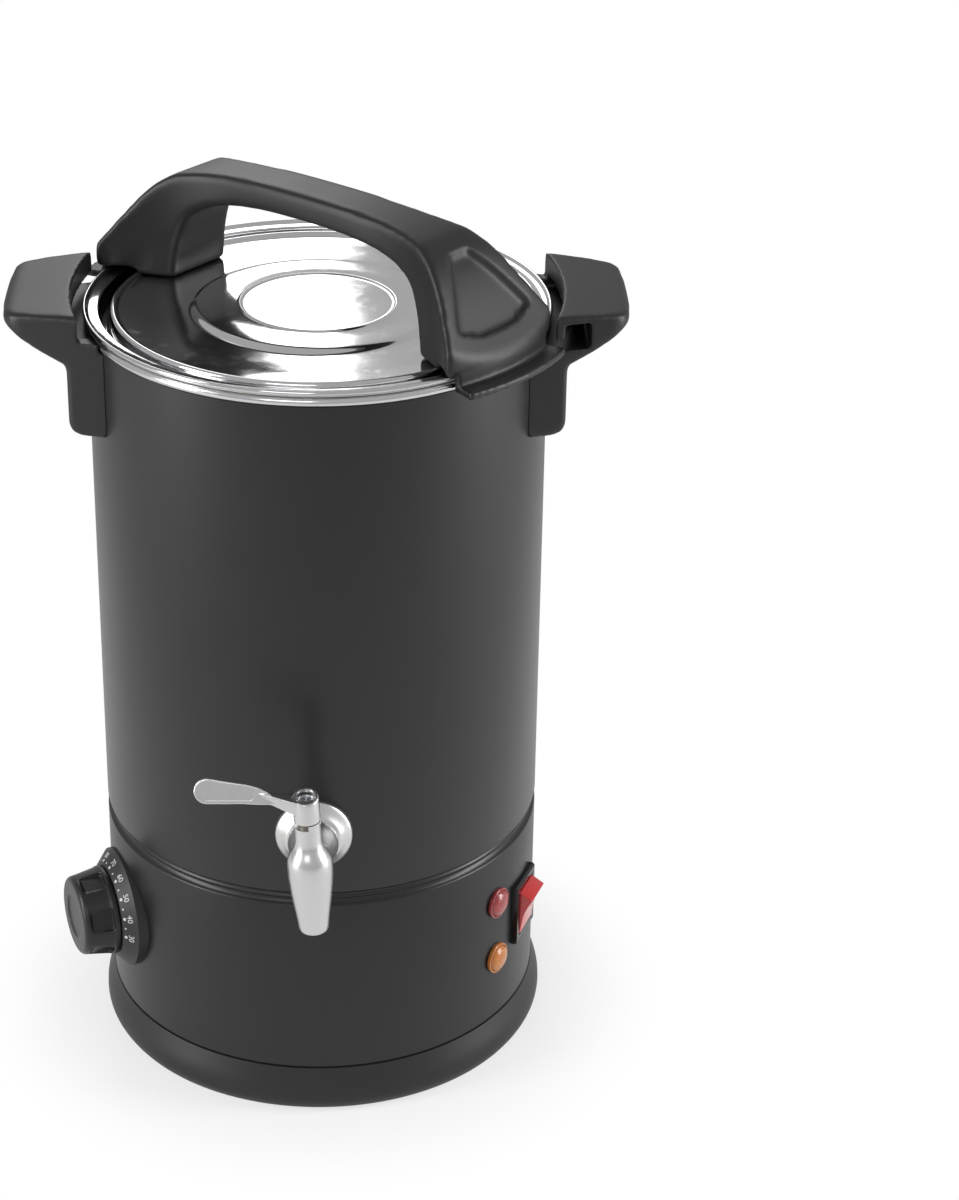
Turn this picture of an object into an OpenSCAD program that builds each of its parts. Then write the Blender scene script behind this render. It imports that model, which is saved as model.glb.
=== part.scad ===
// Candle wax melter: a double-walled electric pot with a bayonet lid, a front tap,
// a dial thermostat, a rocker switch and two pilot lamps.
// Millimetres, +Z up. The origin is the centre of the plane that the feet stand on.
// The front, where the tap is, faces -Y. The lid rests seated and unlocked.

/* [Vessel] */
// Outside radius of the steel shell
body_r = 113; // [110:1:116]
// Height of the rim's top above the table
rim_z = 399.5; // [390:0.5:405]
// Height of the seam between the shell and the base ring
seam_z = 26.2; // [24:0.1:28]
// Thickness of the sheet of the shell
sheet_t = 1; // [0.8:0.1:1.2]
// Inside radius of the wax tank
tank_r = 104; // [102:0.5:104.5]
// Height of the wax tank's floor
tank_floor_z = 139; // [136:1:142]
// Height of the pressed groove round the shell
groove_z = 127.9; // [125:0.1:129]
// Outside radius of the base ring where it is widest
base_r = 117.6; // [116:0.2:120]

/* [Tap] */
// Direction of the tap seen from above, with -90 at the front
tap_az = -91.5; // [-95:0.1:-85]
// Height of the tap's inlet pipe
tap_z = 166.7; // [163:0.1:170]
// Distance from the shell to the tap's upright barrel
tap_reach = 41; // [38:1:44]
// Lean of the tap to the left, in degrees
tap_lean = 2.6; // [0:0.1:4]
// Length of the lever from the barrel's axis to its tip
lever_len = 53; // [45:1:60]

/* [Controls] */
// Height of the dial, the switch and the middle of the lamps
panel_z = 78.8; // [76:0.1:82]
// Direction of the dial
dial_az = -158.3; // [-162:0.1:-154]
// Radius of the dial's graduated bezel
bezel_r = 31.4; // [30:0.1:33]
// Radius of the knob at its back
knob_r = 23.4; // [22:0.1:24]
// Depth of the knob
knob_h = 18.5; // [17:0.5:21]
// Direction of the rocker switch
switch_az = -21.7; // [-24:0.1:-20]
// Height of the switch's frame
switch_h = 35.1; // [33:0.1:37]
// Width of the switch's frame
switch_w = 27; // [26.2:0.1:28]
// Direction of the two pilot lamps
lamp_az = -36.5; // [-40:0.1:-36]
// Distance between the two pilot lamps
lamp_pitch = 34; // [30:1:36]

/* [Side handles] */
// Distance from the pot's axis to a handle's outer end
handle_reach = 152; // [149:0.5:156]
// Width of a handle where it meets the shell
handle_w = 93; // [88:1:96]
// Height of a handle's top above the rim
handle_rise = 12; // [11:0.5:14]
// Height of the foot of a handle's skirt
skirt_z = 350.3; // [340:0.1:356]

/* [Lid] */
// Turn of the lid from locked to unlocked
unlock_turn = 40; // [40:1:44]
// Height of the lid handle's top above the lid's flange
grip_rise = 59; // [55:1:64]
// Width of the lid handle at its middle
grip_w = 28; // [24:1:32]
// Radius of the lid handle's fan-shaped ends
fan_r = 119.5; // [118:0.1:119.6]
// Half the angle that a fan-shaped end covers
fan_half = 20; // [16:1:22]
// Reach of a lid's locking lug
lug_r = 129; // [127:0.5:129.5]
// Half the angle that a locking lug covers
lug_half = 16.5; // [12:0.5:16.5]

/* [Hidden] */

// Smoothness of round forms
$fn = 96;
small_fn = 32;
// Overshoot of a cut, and the gaps between pieces that touch, slide or turn
cut = 1;
fit = 0.05;
gap = 0.3;

collar_r = body_r - 3;
ledge_z = rim_z - 14;
bead_r = 2.2;
bead_x = body_r - 0.9;
bead_z = rim_z - bead_r;
shell_top = rim_z - 2 * bead_r - 0.1;
tank_wall = 1.2;
groove_depth = 0.9;

rivet_z = rim_z - 9.6;
rivet_az = 18.5;
rivet_r = 1.9;
rivet_head_r = 3;

base_z = 1.5;
plate_z = 4.5;
plate_t = 1;
plate_r = body_r - 5;
base_screw_r = body_r - 6.5;
plate_screw_r = plate_r - 5;
foot_ring_r = 84;
foot_azs = [45, 135, 225, 315];
screw_azs = [0, 90, 180, 270];

heater_r = 70;
heater_t = 8;
element_r = 52;
element_tube_r = 3.3;
clamp_z = tank_floor_z - tank_wall - heater_t - 2 * element_tube_r;

skirt_top = rim_z - 5;
skirt_x = 120.1;
hook_x = 120;
hook_curve = 171;
lip_t = 4;
lip_z = rim_z + gap;
roof_z = rim_z + 8;
slot_x = 131;
slot_end = 39;
handle_taper = 15.6;
handle_corner = 11;
tip_curve = 259;
tip_turn = 6.3;
handle_top = rim_z + handle_rise;

tap_y = body_r + tap_reach;
pipe_r = 8;
barrel_top = tap_z + 32.5;
spout_z = tap_z - 29.3;
spout_bore_r = 3.5;
spout_bore_len = 15;
core_r = 4.5;
step_h = 2.4;
hub_r = 6.3;
hub_top = barrel_top + 14.9;
hub_slant = 14;
paddle_w = 6.2;
paddle_t = 3.6;
paddle_turn = 70;
paddle_rise = 7.1;
washer_r = 19.1;
nut_r = 15;
seal_r = 12.4;
bell_r = 12.6;
barrel_r = 11;
inlet_bore_r = core_r - 0.2;

bezel_back = body_r + fit;
bezel_face = body_r + 7.4;
face_r = knob_r + 1.3;
knob_back = bezel_face + gap;
spindle_r = 3;
stat_w = 32;
stat_d = 26;

frame_t = 2.5;
frame_x = body_r + fit;
pivot_x = body_r - 1;
rock_angle = 13;
rocker_w = 19.4;
rocker_h = 26;
axle_r = 1.25;

lens_r = 8.3;
lamp_r = 6.2;

inlet_az = 90;
inlet_w = 50;
inlet_h = 24;
socket_w = 24;
socket_h = 16;
socket_d = 17;

flange_z = rim_z + 1.6;
lid_t = 0.8;
lid_r = body_r + 2;
disc_z = rim_z + 0.4;
plug_z = ledge_z + 6;
grip_top = flange_z + lid_t + grip_rise;
foot_in = 80;
foot_out = 97;
lug_top = rim_z - 0.3;
lug_low = rim_z - 3.7;
web_in = lid_r + gap;
lid_screw_x = 88;
lid_screw_y = 12;

// Points of an arc about c, from angle a0 to a1 in n steps
function arc(c, r, a0, a1, n = 6) =
    [for (i = [0:n]) let (a = a0 + (a1 - a0) * i / n) c + r * [cos(a), sin(a)]];
// Points of a cubic curve through the ends a and d, pulled by b and c
function curve(a, b, c, d, n = 10) =
    [for (i = [0:n]) let (t = i / n, u = 1 - t)
        u * u * u * a + 3 * u * u * t * b + 3 * u * t * t * c + t * t * t * d];
// The same points on the other side of the vertical axis, in reverse order
function mirrored(p) = [for (i = [len(p) - 1:-1:0]) [-p[i][0], p[i][1]]];

// Turns a piece that is modelled along +X to a direction round the pot
module towards(az) { rotate([0, 0, az]) children(); }
// A cylinder along +X that starts at x, for pieces on the wall
module across(x, r, h) {
    translate([x, 0, 0]) rotate([0, 90, 0]) cylinder(r = r, h = h, $fn = small_fn);
}
// A cone along +X
module cone_across(x, r1, r2, h) {
    translate([x, 0, 0]) rotate([0, 90, 0]) cylinder(r1 = r1, r2 = r2, h = h);
}
// A round rod from p to q
module rod(p, q, r) {
    d = q - p;
    translate(p) rotate([0, acos(d[2] / norm(d)), atan2(d[1], d[0])])
        cylinder(r = r, h = norm(d), $fn = small_fn);
}
// A box that starts at x and is centred across it
module block(x, d, w, h) { translate([x, -w / 2, -h / 2]) cube([d, w, h]); }
// The same box, raised by z
module block_at(x, z, d, w, h) { translate([0, 0, z]) block(x, d, w, h); }
// A profile in the XZ plane, drawn as [x, z], given the thickness w along Y
module side_cut(w) { rotate([90, 0, 0]) translate([0, 0, -w / 2]) linear_extrude(w) children(); }
// Places pieces at the four rivets' directions
module at_rivets() {
    for (side = [0, 180], az = [-rivet_az, rivet_az])
        towards(side + az) translate([0, 0, rivet_z]) children();
}
// Places pieces on the four plate or base screws' directions
module at_screws(azs, r) { for (az = azs) towards(az) translate([r, 0, 0]) children(); }
// Places the pieces of one lamp, of the controls at the panel's height, and of the tap
module at_lamp(side) { towards(lamp_az) translate([0, 0, panel_z + side * lamp_pitch / 2]) children(); }
module at_panel(az) { towards(az) translate([0, 0, panel_z]) children(); }
module at_inlet() { towards(tap_az) translate([0, 0, tap_z]) children(); }
module at_tap() { at_inlet() rotate([tap_lean, 0, 0]) children(); }
module at_barrel() { at_tap() translate([body_r + tap_reach, 0, 0]) children(); }
module lid_place() { rotate([0, 0, -unlock_turn]) children(); }

// ---- Vessel ----

module outer_shell() color("#2b2b2d") {
    inner = body_r - sheet_t;
    difference() {
        rotate_extrude()
            polygon([[body_r, seam_z], [body_r, groove_z - 4.5],
                     [body_r - groove_depth, groove_z - 3], [body_r - groove_depth, groove_z + 3],
                     [body_r, groove_z + 4.5], [body_r, shell_top],
                     [inner, shell_top], [inner, groove_z + 5],
                     [inner - groove_depth, groove_z + 3.5], [inner - groove_depth, groove_z - 3.5],
                     [inner, groove_z - 5], [inner, seam_z + sheet_t],
                     [base_screw_r - 5, seam_z + sheet_t], [base_screw_r - 5, seam_z]]);
        at_inlet() across(body_r - 9, pipe_r + 0.2, 18);
        at_rivets() across(body_r - 9, rivet_r + 0.1, 18);
        at_panel(dial_az) {
            across(body_r - 9, 6, 18);
            for (side = [-1, 1]) translate([0, 0, 14 * side]) across(body_r - 9, 2.1, 18);
        }
        at_panel(switch_az) block(body_r - 9, 18, rocker_w + 6.2, rocker_h + 3.2);
        for (side = [-1, 1]) at_lamp(side) across(body_r - 9, lamp_r + 0.1, 18);
        at_panel(inlet_az) {
            block(body_r - 9, 18, socket_w + 4.2, socket_h + 4.2);
            for (side = [-1, 1]) translate([0, 20 * side, 0]) across(body_r - 12, 1.8, 18);
        }
        at_screws(foot_azs, base_screw_r) translate([0, 0, seam_z - cut])
            cylinder(r = 1.7, h = 4, $fn = small_fn);
    }
}

module rim_collar() color("#c9cbce") {
    difference() {
        rotate_extrude() union() {
            translate([bead_x, bead_z]) circle(r = bead_r, $fn = small_fn);
            translate([collar_r, ledge_z - sheet_t]) square([sheet_t, bead_z - ledge_z + sheet_t]);
            translate([tank_r - 0.2, ledge_z - sheet_t]) square([collar_r - tank_r + 0.7, sheet_t]);
        }
        at_rivets() across(collar_r - 8, rivet_r + 0.1, 10);
    }
}

// Four domed rivets hold the side handles: head in the collar, shank in the skirt
module handle_rivets() color("#d8d9da") {
    at_rivets() {
        intersection() {
            translate([collar_r + 1.1, 0, 0]) sphere(r = rivet_head_r + 0.2, $fn = small_fn);
            block(collar_r - 4, 3.9, 10, 10);
        }
        across(collar_r - 0.5, rivet_r, 11.5);
    }
}

module wax_tank() color("#1b1b1c") {
    floor_r = 9;
    difference() {
        rotate_extrude() polygon(concat(
            [[0, tank_floor_z - tank_wall]],
            arc([tank_r - floor_r, tank_floor_z + floor_r], floor_r + tank_wall, -90, 0),
            [[tank_r + tank_wall, ledge_z - sheet_t - 1.2], [collar_r - 0.5, ledge_z - sheet_t - 1.2],
             [collar_r - 0.5, ledge_z - sheet_t], [tank_r, ledge_z - sheet_t]],
            arc([tank_r - floor_r, tank_floor_z + floor_r], floor_r, 0, -90),
            [[0, tank_floor_z]]));
        at_inlet() across(tank_r - 9, pipe_r + 0.2, 18);
    }
}

// Cast plate under the tank that spreads the element's heat
module heater_plate() color("#a9abad") {
    top = tank_floor_z - tank_wall;
    difference() {
        rotate_extrude() polygon([[0, top - heater_t], [element_r - 8, top - heater_t],
                                  [element_r - 6, top - heater_t - 1], [element_r + 6, top - heater_t - 1],
                                  [element_r + 8, top - heater_t], [heater_r, top - heater_t],
                                  [heater_r, top - 2], [heater_r - 2, top], [0, top]]);
        rotate_extrude() translate([element_r, top - heater_t - 1])
            circle(r = element_tube_r, $fn = small_fn);
        translate([0, 0, top - heater_t - cut]) cylinder(r = 2.5, h = heater_t - 1, $fn = small_fn);
    }
}

// Ring-shaped tube with its two ends turned down to the terminals
module heating_element() color("#6f7478") {
    z = tank_floor_z - tank_wall - heater_t - 1;
    rotate([0, 0, 20]) rotate_extrude(angle = 320) translate([element_r, z])
        circle(r = element_tube_r - fit, $fn = small_fn);
    for (az = [20, -20]) towards(az) translate([element_r, 0, z - 22]) {
        cylinder(r = element_tube_r - fit, h = 22, $fn = small_fn);
        translate([0, 0, -8]) cylinder(r = 1.2, h = 8, $fn = small_fn);
    }
}

// Cross bar and bolt that press the heater against the tank
module heater_clamp() color("#b5b7ba") {
    z = clamp_z - 3;
    difference() {
        translate([-36, -9, z]) cube([72, 18, 2]);
        translate([0, 0, z - cut]) cylinder(r = 2.6, h = 4, $fn = small_fn);
    }
    for (side = [-1, 1]) translate([side * 35 - 1, -9, z + 2])
        cube([2, 18, tank_floor_z - tank_wall - heater_t - z - 2 - fit]);
    translate([0, 0, z - 3.5]) cylinder(r = 4.6, h = 3.5, $fn = 6);
    translate([0, 0, z - 3.5]) cylinder(r = 2.4, h = 17, $fn = small_fn);
}

// Bimetal disc that cuts the power when the tank runs dry
module thermal_cutout() color("#3a3431") {
    top = tank_floor_z - tank_wall - heater_t - fit;
    translate([0, 24, top - 2]) cylinder(r = 8, h = 2, $fn = small_fn);
    translate([0, 24, top - 9]) cylinder(r = 6.5, h = 7.5, $fn = small_fn);
    for (side = [-1, 1]) translate([side * 4.5 - 0.4, 21, top - 17]) cube([0.8, 6, 9]);
}

// ---- Base ----

module base_ring() color("#242426") {
    wall = 2.6;
    difference() {
        union() {
            rotate_extrude() polygon(concat(
                [[base_r - 5.3, base_z], [base_r - 3.1, base_z]],
                curve([base_r - 2.7, base_z + 0.3], [base_r - 0.8, 4], [base_r, 6], [base_r, 9], 4),
                curve([base_r, 9.6], [base_r, 15], [body_r + 1.8, 20], [body_r + 0.2, seam_z - 1.2], 6),
                [[body_r - 0.8, seam_z - 1.2], [body_r - 0.8, seam_z - fit],
                 [base_screw_r - 6, seam_z - fit], [base_screw_r - 6, seam_z - 3.2],
                 [body_r - wall, seam_z - 3.2]],
                curve([body_r - wall, seam_z - 3.4], [body_r - wall, 18], [base_r - wall, 14],
                      [base_r - wall, 8], 6)));
            // Posts that the bottom plate is screwed up to
            at_screws(screw_azs, plate_screw_r) translate([0, 0, plate_z + plate_t + fit])
                cylinder(r = 4, h = seam_z - plate_z - plate_t - 3, $fn = small_fn);
        }
        at_screws(foot_azs, base_screw_r) translate([0, 0, seam_z - 6])
            cylinder(r = 2.2, h = 8, $fn = small_fn);
        at_screws(screw_azs, plate_screw_r) translate([0, 0, plate_z])
            cylinder(r = 1.6, h = 10, $fn = small_fn);
    }
}

module bottom_plate() color("#8f9295") {
    difference() {
        translate([0, 0, plate_z]) cylinder(r = plate_r, h = plate_t);
        at_screws(screw_azs, plate_screw_r) translate([0, 0, plate_z - cut])
            cylinder(r = 1.8, h = 4, $fn = small_fn);
        at_screws(foot_azs, foot_ring_r) translate([0, 0, plate_z - cut])
            cylinder(r = 3.1, h = 4, $fn = small_fn);
        // Rows of cooling slots
        for (row = [-2:2], side = [-1, 1])
            translate([side * 22 - 14, row * 12 - 2, plate_z - cut]) cube([28, 4, 4]);
    }
}

// Screws that pull the shell's turned-in foot down on the base ring
module base_screws() color("#9a9da0") {
    at_screws(foot_azs, base_screw_r) {
        translate([0, 0, seam_z - 6.2]) cylinder(r = 3.6, h = 3 - fit, $fn = small_fn);
        translate([0, 0, seam_z - 3.4]) cylinder(r = 1.65, h = 8, $fn = small_fn);
    }
}

module plate_screws() color("#9a9da0") {
    at_screws(screw_azs, plate_screw_r) {
        translate([0, 0, plate_z - 1.8]) cylinder(r1 = 2.6, r2 = 3.3, h = 1.8 - fit, $fn = small_fn);
        translate([0, 0, plate_z - 0.5]) cylinder(r = 1.55, h = 9, $fn = small_fn);
    }
}

// Feet with a stem that snaps through the bottom plate
module rubber_feet() color("#161616") {
    at_screws(foot_azs, foot_ring_r) rotate_extrude($fn = 48)
        polygon([[0, 0], [8.6, 0], [9.4, 0.8], [10, plate_z - fit], [3, plate_z - fit],
                 [3, plate_z + plate_t + fit], [4.4, plate_z + plate_t + fit], [2.4, plate_z + 5],
                 [0, plate_z + 5]]);
}

// Block where the inner leads meet, on the bottom plate
module terminal_block() color("#d9d4c8") {
    top = plate_z + plate_t + fit;
    difference() {
        translate([-24, 40, top]) cube([48, 18, 14]);
        for (i = [-1.5:1:1.5]) translate([i * 11, 49, top + 6]) cylinder(r = 2.6, h = 9, $fn = small_fn);
        for (i = [-1:1]) translate([i * 11 - 0.8, 39, top + 8]) cube([1.6, 20, 7]);
    }
}

// ---- Side handles ----

// One moulding: a skirt on the shell and a hook that the lid's lug turns in under.
// Drawn for the +X side, open at its -Y end.
module side_handle() {
    half = handle_w / 2;
    back_x = body_r - 20;
    back_half = half + 20 * tan(handle_taper);
    corner = handle_corner;
    corner_x = handle_reach - 12.5;
    corner_y = half - (corner_x - body_r) * tan(handle_taper) - corner / cos(handle_taper);
    plan = concat([[back_x, -back_half]],
                  arc([corner_x, -corner_y], corner, handle_taper - 90, -tip_turn),
                  arc([handle_reach - tip_curve, 0], tip_curve, -tip_turn, tip_turn),
                  arc([corner_x, corner_y], corner, tip_turn, 90 - handle_taper),
                  [[back_x, back_half]]);
    section = concat([[back_x, skirt_z]], arc([skirt_x - 6, skirt_z + 6], 6, -90, 0),
                     [[skirt_x, rim_z - 13.5]],
                     curve([skirt_x + 1.4, rim_z - 12.9], [skirt_x + 10, rim_z - 9.5],
                           [handle_reach - 11, rim_z - 3.5], [handle_reach - 6, rim_z + 1]),
                     curve([handle_reach - 5, rim_z + 1.9], [handle_reach - 2, rim_z + 3.4],
                           [handle_reach, rim_z + 4], [handle_reach, rim_z + 6], 5),
                     curve([handle_reach, rim_z + 7], [handle_reach, rim_z + 9],
                           [handle_reach - 1.6, rim_z + 10.2], [handle_reach - 4.6, rim_z + 10.4], 5),
                     [[hook_x, handle_top], [back_x, handle_top]]);
    difference() {
        intersection() {
            linear_extrude(handle_top + cut) polygon(plan);
            side_cut(2 * back_half + cut) polygon(section);
        }
        // Seat on the shell and round the rim's bead
        translate([0, 0, skirt_z - cut]) cylinder(r = body_r + fit, h = handle_top);
        translate([0, 0, skirt_top]) cylinder(r = bead_x + bead_r + gap, h = handle_top);
        // Inner edge of the lip
        translate([hook_x - hook_curve, 0, lip_z - cut]) cylinder(r = hook_curve, h = handle_top);
        // Inside of the slot, open at one end and closed at the other
        difference() {
            translate([back_x, -back_half - cut, skirt_top])
                cube([slot_x - back_x, back_half + cut + slot_end, roof_z - skirt_top]);
            translate([hook_x - hook_curve, 0, lip_z]) cylinder(r = hook_curve + lip_t, h = roof_z);
        }
        // Lead-in under the open end of the lip
        translate([slot_x - 14, -half - cut, lip_z - cut]) rotate([-18, 0, 0]) cube([13.9, 9, 4]);
        for (az = [-rivet_az, rivet_az]) towards(az) translate([0, 0, rivet_z])
            across(body_r - 4, rivet_r + 0.1, 12.5);
    }
}
module handle_right() color("#2a2a2c") side_handle();
module handle_left() color("#2a2a2c") rotate([0, 0, 180]) side_handle();

// ---- Dial and thermostat ----

module dial_bezel() color("#2e2e30") at_panel(dial_az) {
    difference() {
        union() {
            cone_across(body_r - 6, bezel_r, bezel_r, 7.2);
            cone_across(body_r + 1.2, bezel_r, face_r, bezel_face - body_r - 1.2);
        }
        translate([0, 0, -panel_z]) cylinder(r = bezel_back, h = 2 * panel_z);
        across(body_r - 9, 5.6, 20);
        // Pockets over the heads of the thermostat's screws
        for (side = [-1, 1]) translate([0, 0, 14 * side]) across(body_r - 9, 4.4, 12.4);
    }
}

module thermostat() color("#b9bbbd") at_panel(dial_az) {
    difference() {
        union() {
            block(body_r - 4 - stat_d, stat_d, stat_w, stat_w + 8);
            across(body_r - 4 - fit, 5.4, 6.5);
        }
        across(body_r - 16, spindle_r + fit, 30);
        for (side = [-1, 1]) translate([0, 0, 14 * side]) across(body_r - 12, 1.55, 10);
    }
}

module thermostat_screws() color("#9a9da0") at_panel(dial_az) {
    for (side = [-1, 1]) translate([0, 0, 14 * side]) {
        across(body_r + fit, 3.6, 2.4);
        across(body_r - 11.5, 1.5, 12);
    }
}

// Sensing bulb clipped along the underside of the tank, with its fine tube
module thermostat_bulb() color("#b87333") {
    z = tank_floor_z - tank_wall - 3.1;
    stat_top = panel_z + stat_w / 2 + 4 + fit;
    tube_bend = [92, -8, stat_top + 8];
    towards(dial_az) {
        translate([76, -22, z]) rotate([-90, 0, 0]) cylinder(r = 3, h = 44, $fn = small_fn);
        translate([76, 22, z]) rotate([-90, 0, 0]) cylinder(r1 = 2.9, r2 = 1.2, h = 3, $fn = small_fn);
        rod([76, -20, z], tube_bend, 1);
        translate(tube_bend) sphere(r = 1.3, $fn = small_fn);
        translate([tube_bend[0], tube_bend[1], stat_top])
            cylinder(r = 1, h = tube_bend[2] - stat_top, $fn = small_fn);
    }
}

module dial_knob() color("#262628") at_panel(dial_az) {
    front = knob_back + knob_h;
    difference() {
        translate([knob_back, 0, 0]) rotate([0, 90, 0]) rotate_extrude() polygon(concat(
            [[0, 0], [knob_r, 0], [knob_r, 3]],
            curve([knob_r - 0.4, 3.2], [knob_r - 1.2, 8], [knob_r - 2, knob_h - 6],
                  [knob_r - 2.5, knob_h - 2.6], 4),
            curve([knob_r - 2.9, knob_h - 1.4], [knob_r - 5, knob_h - 0.2], [8, knob_h], [0, knob_h])));
        // Finger recesses round the side
        for (i = [0:5]) rotate([60 * i + 30, 0, 0]) translate([knob_back + 4.6, 0, knob_r - 3.2])
            linear_extrude(6) polygon(concat(
                arc([1.5, -5], 1.5, 180, 270, 4), arc([8.5, -5], 1.5, 270, 360, 4),
                arc([8.5, 5], 1.5, 0, 90, 4), arc([1.5, 5], 1.5, 90, 180, 4)));
        // Pointer notch at the back edge
        rotate([180, 0, 0]) translate([knob_back - cut, -1.2, knob_r - 1.4]) cube([4, 2.4, 3]);
        // Shallow round panel in the front
        across(front - 0.7, 11, 3);
        across(knob_back - cut, spindle_r + fit, 13);
    }
}

module dial_shaft() color("#c2a14d") at_panel(dial_az) {
    difference() {
        across(body_r - 14, spindle_r, knob_back + 11 - body_r + 14);
        translate([knob_back + gap, -5, 1.6]) cube([12, 10, 3]);
    }
}

// ---- Switch, lamps and inlet ----

module switch_housing() color("#111113") at_panel(switch_az) {
    difference() {
        union() {
            // Frame with bevelled edges, curved behind to lie on the shell
            difference() {
                side_cut(switch_w) polygon([
                    [body_r - 3, -switch_h / 2], [frame_x + frame_t - 1, -switch_h / 2],
                    [frame_x + frame_t, -switch_h / 2 + 1.2], [frame_x + frame_t, switch_h / 2 - 1.2],
                    [frame_x + frame_t - 1, switch_h / 2], [body_r - 3, switch_h / 2]]);
                translate([0, 0, -panel_z]) cylinder(r = frame_x, h = 2 * panel_z);
            }
            block(frame_x - 20, 20, rocker_w + 6, rocker_h + 3);
        }
        block(pivot_x - 10, 16, rocker_w + 1, rocker_h + 1.4);
        // Bearing for the rocker's axle
        translate([pivot_x, -rocker_w / 2 - 2, 0]) rotate([-90, 0, 0])
            cylinder(r = axle_r + fit, h = rocker_w + 4, $fn = small_fn);
    }
}

module switch_terminals() color("#c8a951") at_panel(switch_az) {
    for (row = [-1:1]) block_at(frame_x - 29, row * 8, 9 - fit, 6.3, 0.8);
}

// Rocker seen from the side: its top half stands out, its lower half is pushed in
module switch_rocker() color("#d3151b") at_panel(switch_az) {
    end = rocker_h / 2;
    translate([pivot_x, 0, 0]) rotate([0, rock_angle, 0]) {
        side_cut(rocker_w) polygon(concat(
            [[-4.5, 2.5 - end], [0.6, -end]],
            curve([8.2, 2.2 - end], [5.4, -5], [4.4, 0], [4.6, 0], 4),
            curve([4.7, 0.2], [4.6, 1], [5.6, 5], [8.2, end - 2.2], 4),
            [[0.6, end], [-4.5, end - 2.5]]));
        rotate([90, 0, 0]) cylinder(r = axle_r, h = rocker_w + 3, center = true, $fn = small_fn);
    }
}

// Domed lens with a stepped edge
module lamp_lens(side) at_lamp(side) {
    x = body_r + 0.2;
    translate([x, 0, 0]) rotate([0, 90, 0]) rotate_extrude($fn = 48) polygon(concat(
        [[0, 0], [lens_r, 0], [lens_r, 1.3], [lens_r - 0.4, 1.7]],
        curve([lens_r - 0.5, 2.2], [lens_r - 1.2, 3.4], [4, 4.2], [0, 4.3], 5)));
}
// Tube behind the lens, with two snap tongues inside the wall
module lamp_body(side) at_lamp(side) {
    across(body_r - 24, lamp_r, 24.2 - fit);
    for (s = [-1, 1]) block_at(body_r - 12, s * (lamp_r + 0.8), 9, 3, 2.2);
    for (s = [-1, 1]) block_at(body_r - 31, s * 3, 7, 4, 0.8);
}
module heat_lamp_lens() color("#c8323a") lamp_lens(1);
module heat_lamp_body() color("#e8e4da") lamp_body(1);
module warm_lamp_lens() color("#e88a1e") lamp_lens(-1);
module warm_lamp_body() color("#e8e4da") lamp_body(-1);

module mains_inlet() color("#18181a") at_panel(inlet_az) {
    difference() {
        union() {
            difference() {
                block(body_r - 4, 7, inlet_w, inlet_h);
                translate([0, 0, -panel_z]) cylinder(r = body_r + fit, h = 2 * panel_z);
            }
            block(body_r - 20, 20.5, socket_w + 4, socket_h + 4);
        }
        socket_hollow();
        pins(fit);
        for (side = [-1, 1]) translate([0, 20 * side, 0]) {
            across(body_r - 12, 1.8, 20);
            cone_across(body_r + 1.4, 1.8, 3.6, 1.7);
        }
    }
}
// Hollow for the plug, with its two cut corners
module socket_hollow() {
    w = socket_w / 2;
    h = socket_h / 2;
    translate([body_r + 3 - socket_d, 0, 0]) rotate([90, 0, 90]) linear_extrude(socket_d + cut)
        polygon([[-w, -h], [w, -h], [w, h - 4], [w - 4, h], [-w + 4, h], [-w, h - 4]]);
}
// Three flat pins, drawn larger by e for the slots they pass through
module pins(e) {
    for (p = [[-7, -2], [7, -2], [0, 2]]) translate([0, p[0], p[1]])
        block(body_r + 3 - socket_d - 16, 27, 2 + 2 * e, 4 + 2 * e);
}
module inlet_pins() color("#c8a951") at_panel(inlet_az) pins(0);
module inlet_screws() color("#b4b7ba") at_panel(inlet_az) {
    for (side = [-1, 1]) translate([0, 20 * side, 0]) {
        cone_across(body_r + 1.5, 1.6, 3.4, 1.4);
        across(body_r - 10, 1.6, 11.6);
    }
}

// ---- Tap ----

// Dished cover washer against the shell
module tap_washer() color("#c4c5c6") at_inlet() {
    difference() {
        translate([body_r + 1.2, 0, 0]) rotate([0, 90, 0]) rotate_extrude()
            polygon([[pipe_r + 0.1, 0], [seal_r + 0.1, 0], [seal_r + 0.1, -4], [washer_r, -4],
                     [washer_r, 0.6], [washer_r - 0.6, 1.2], [bell_r + 0.6, 6.4], [bell_r - 0.8, 6.8],
                     [pipe_r + 3, 3.4], [pipe_r + 0.1, 3.4]]);
        translate([0, 0, -60]) cylinder(r = body_r + fit, h = 120);
    }
}

// Two silicone rings, one on each side of the double wall
module tap_seals() color("#c9552e") at_inlet() {
    difference() {
        across(body_r - 2, seal_r, 3.1);
        across(body_r - 3, pipe_r + 0.05, 6);
        translate([0, 0, -60]) cylinder(r = body_r + fit, h = 120);
    }
    intersection() {
        difference() {
            across(tank_r - 4.4, seal_r, 8);
            across(tank_r - 6, pipe_r + 0.05, 12);
        }
        translate([0, 0, -60]) cylinder(r = tank_r - fit, h = 120);
    }
}

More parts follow.
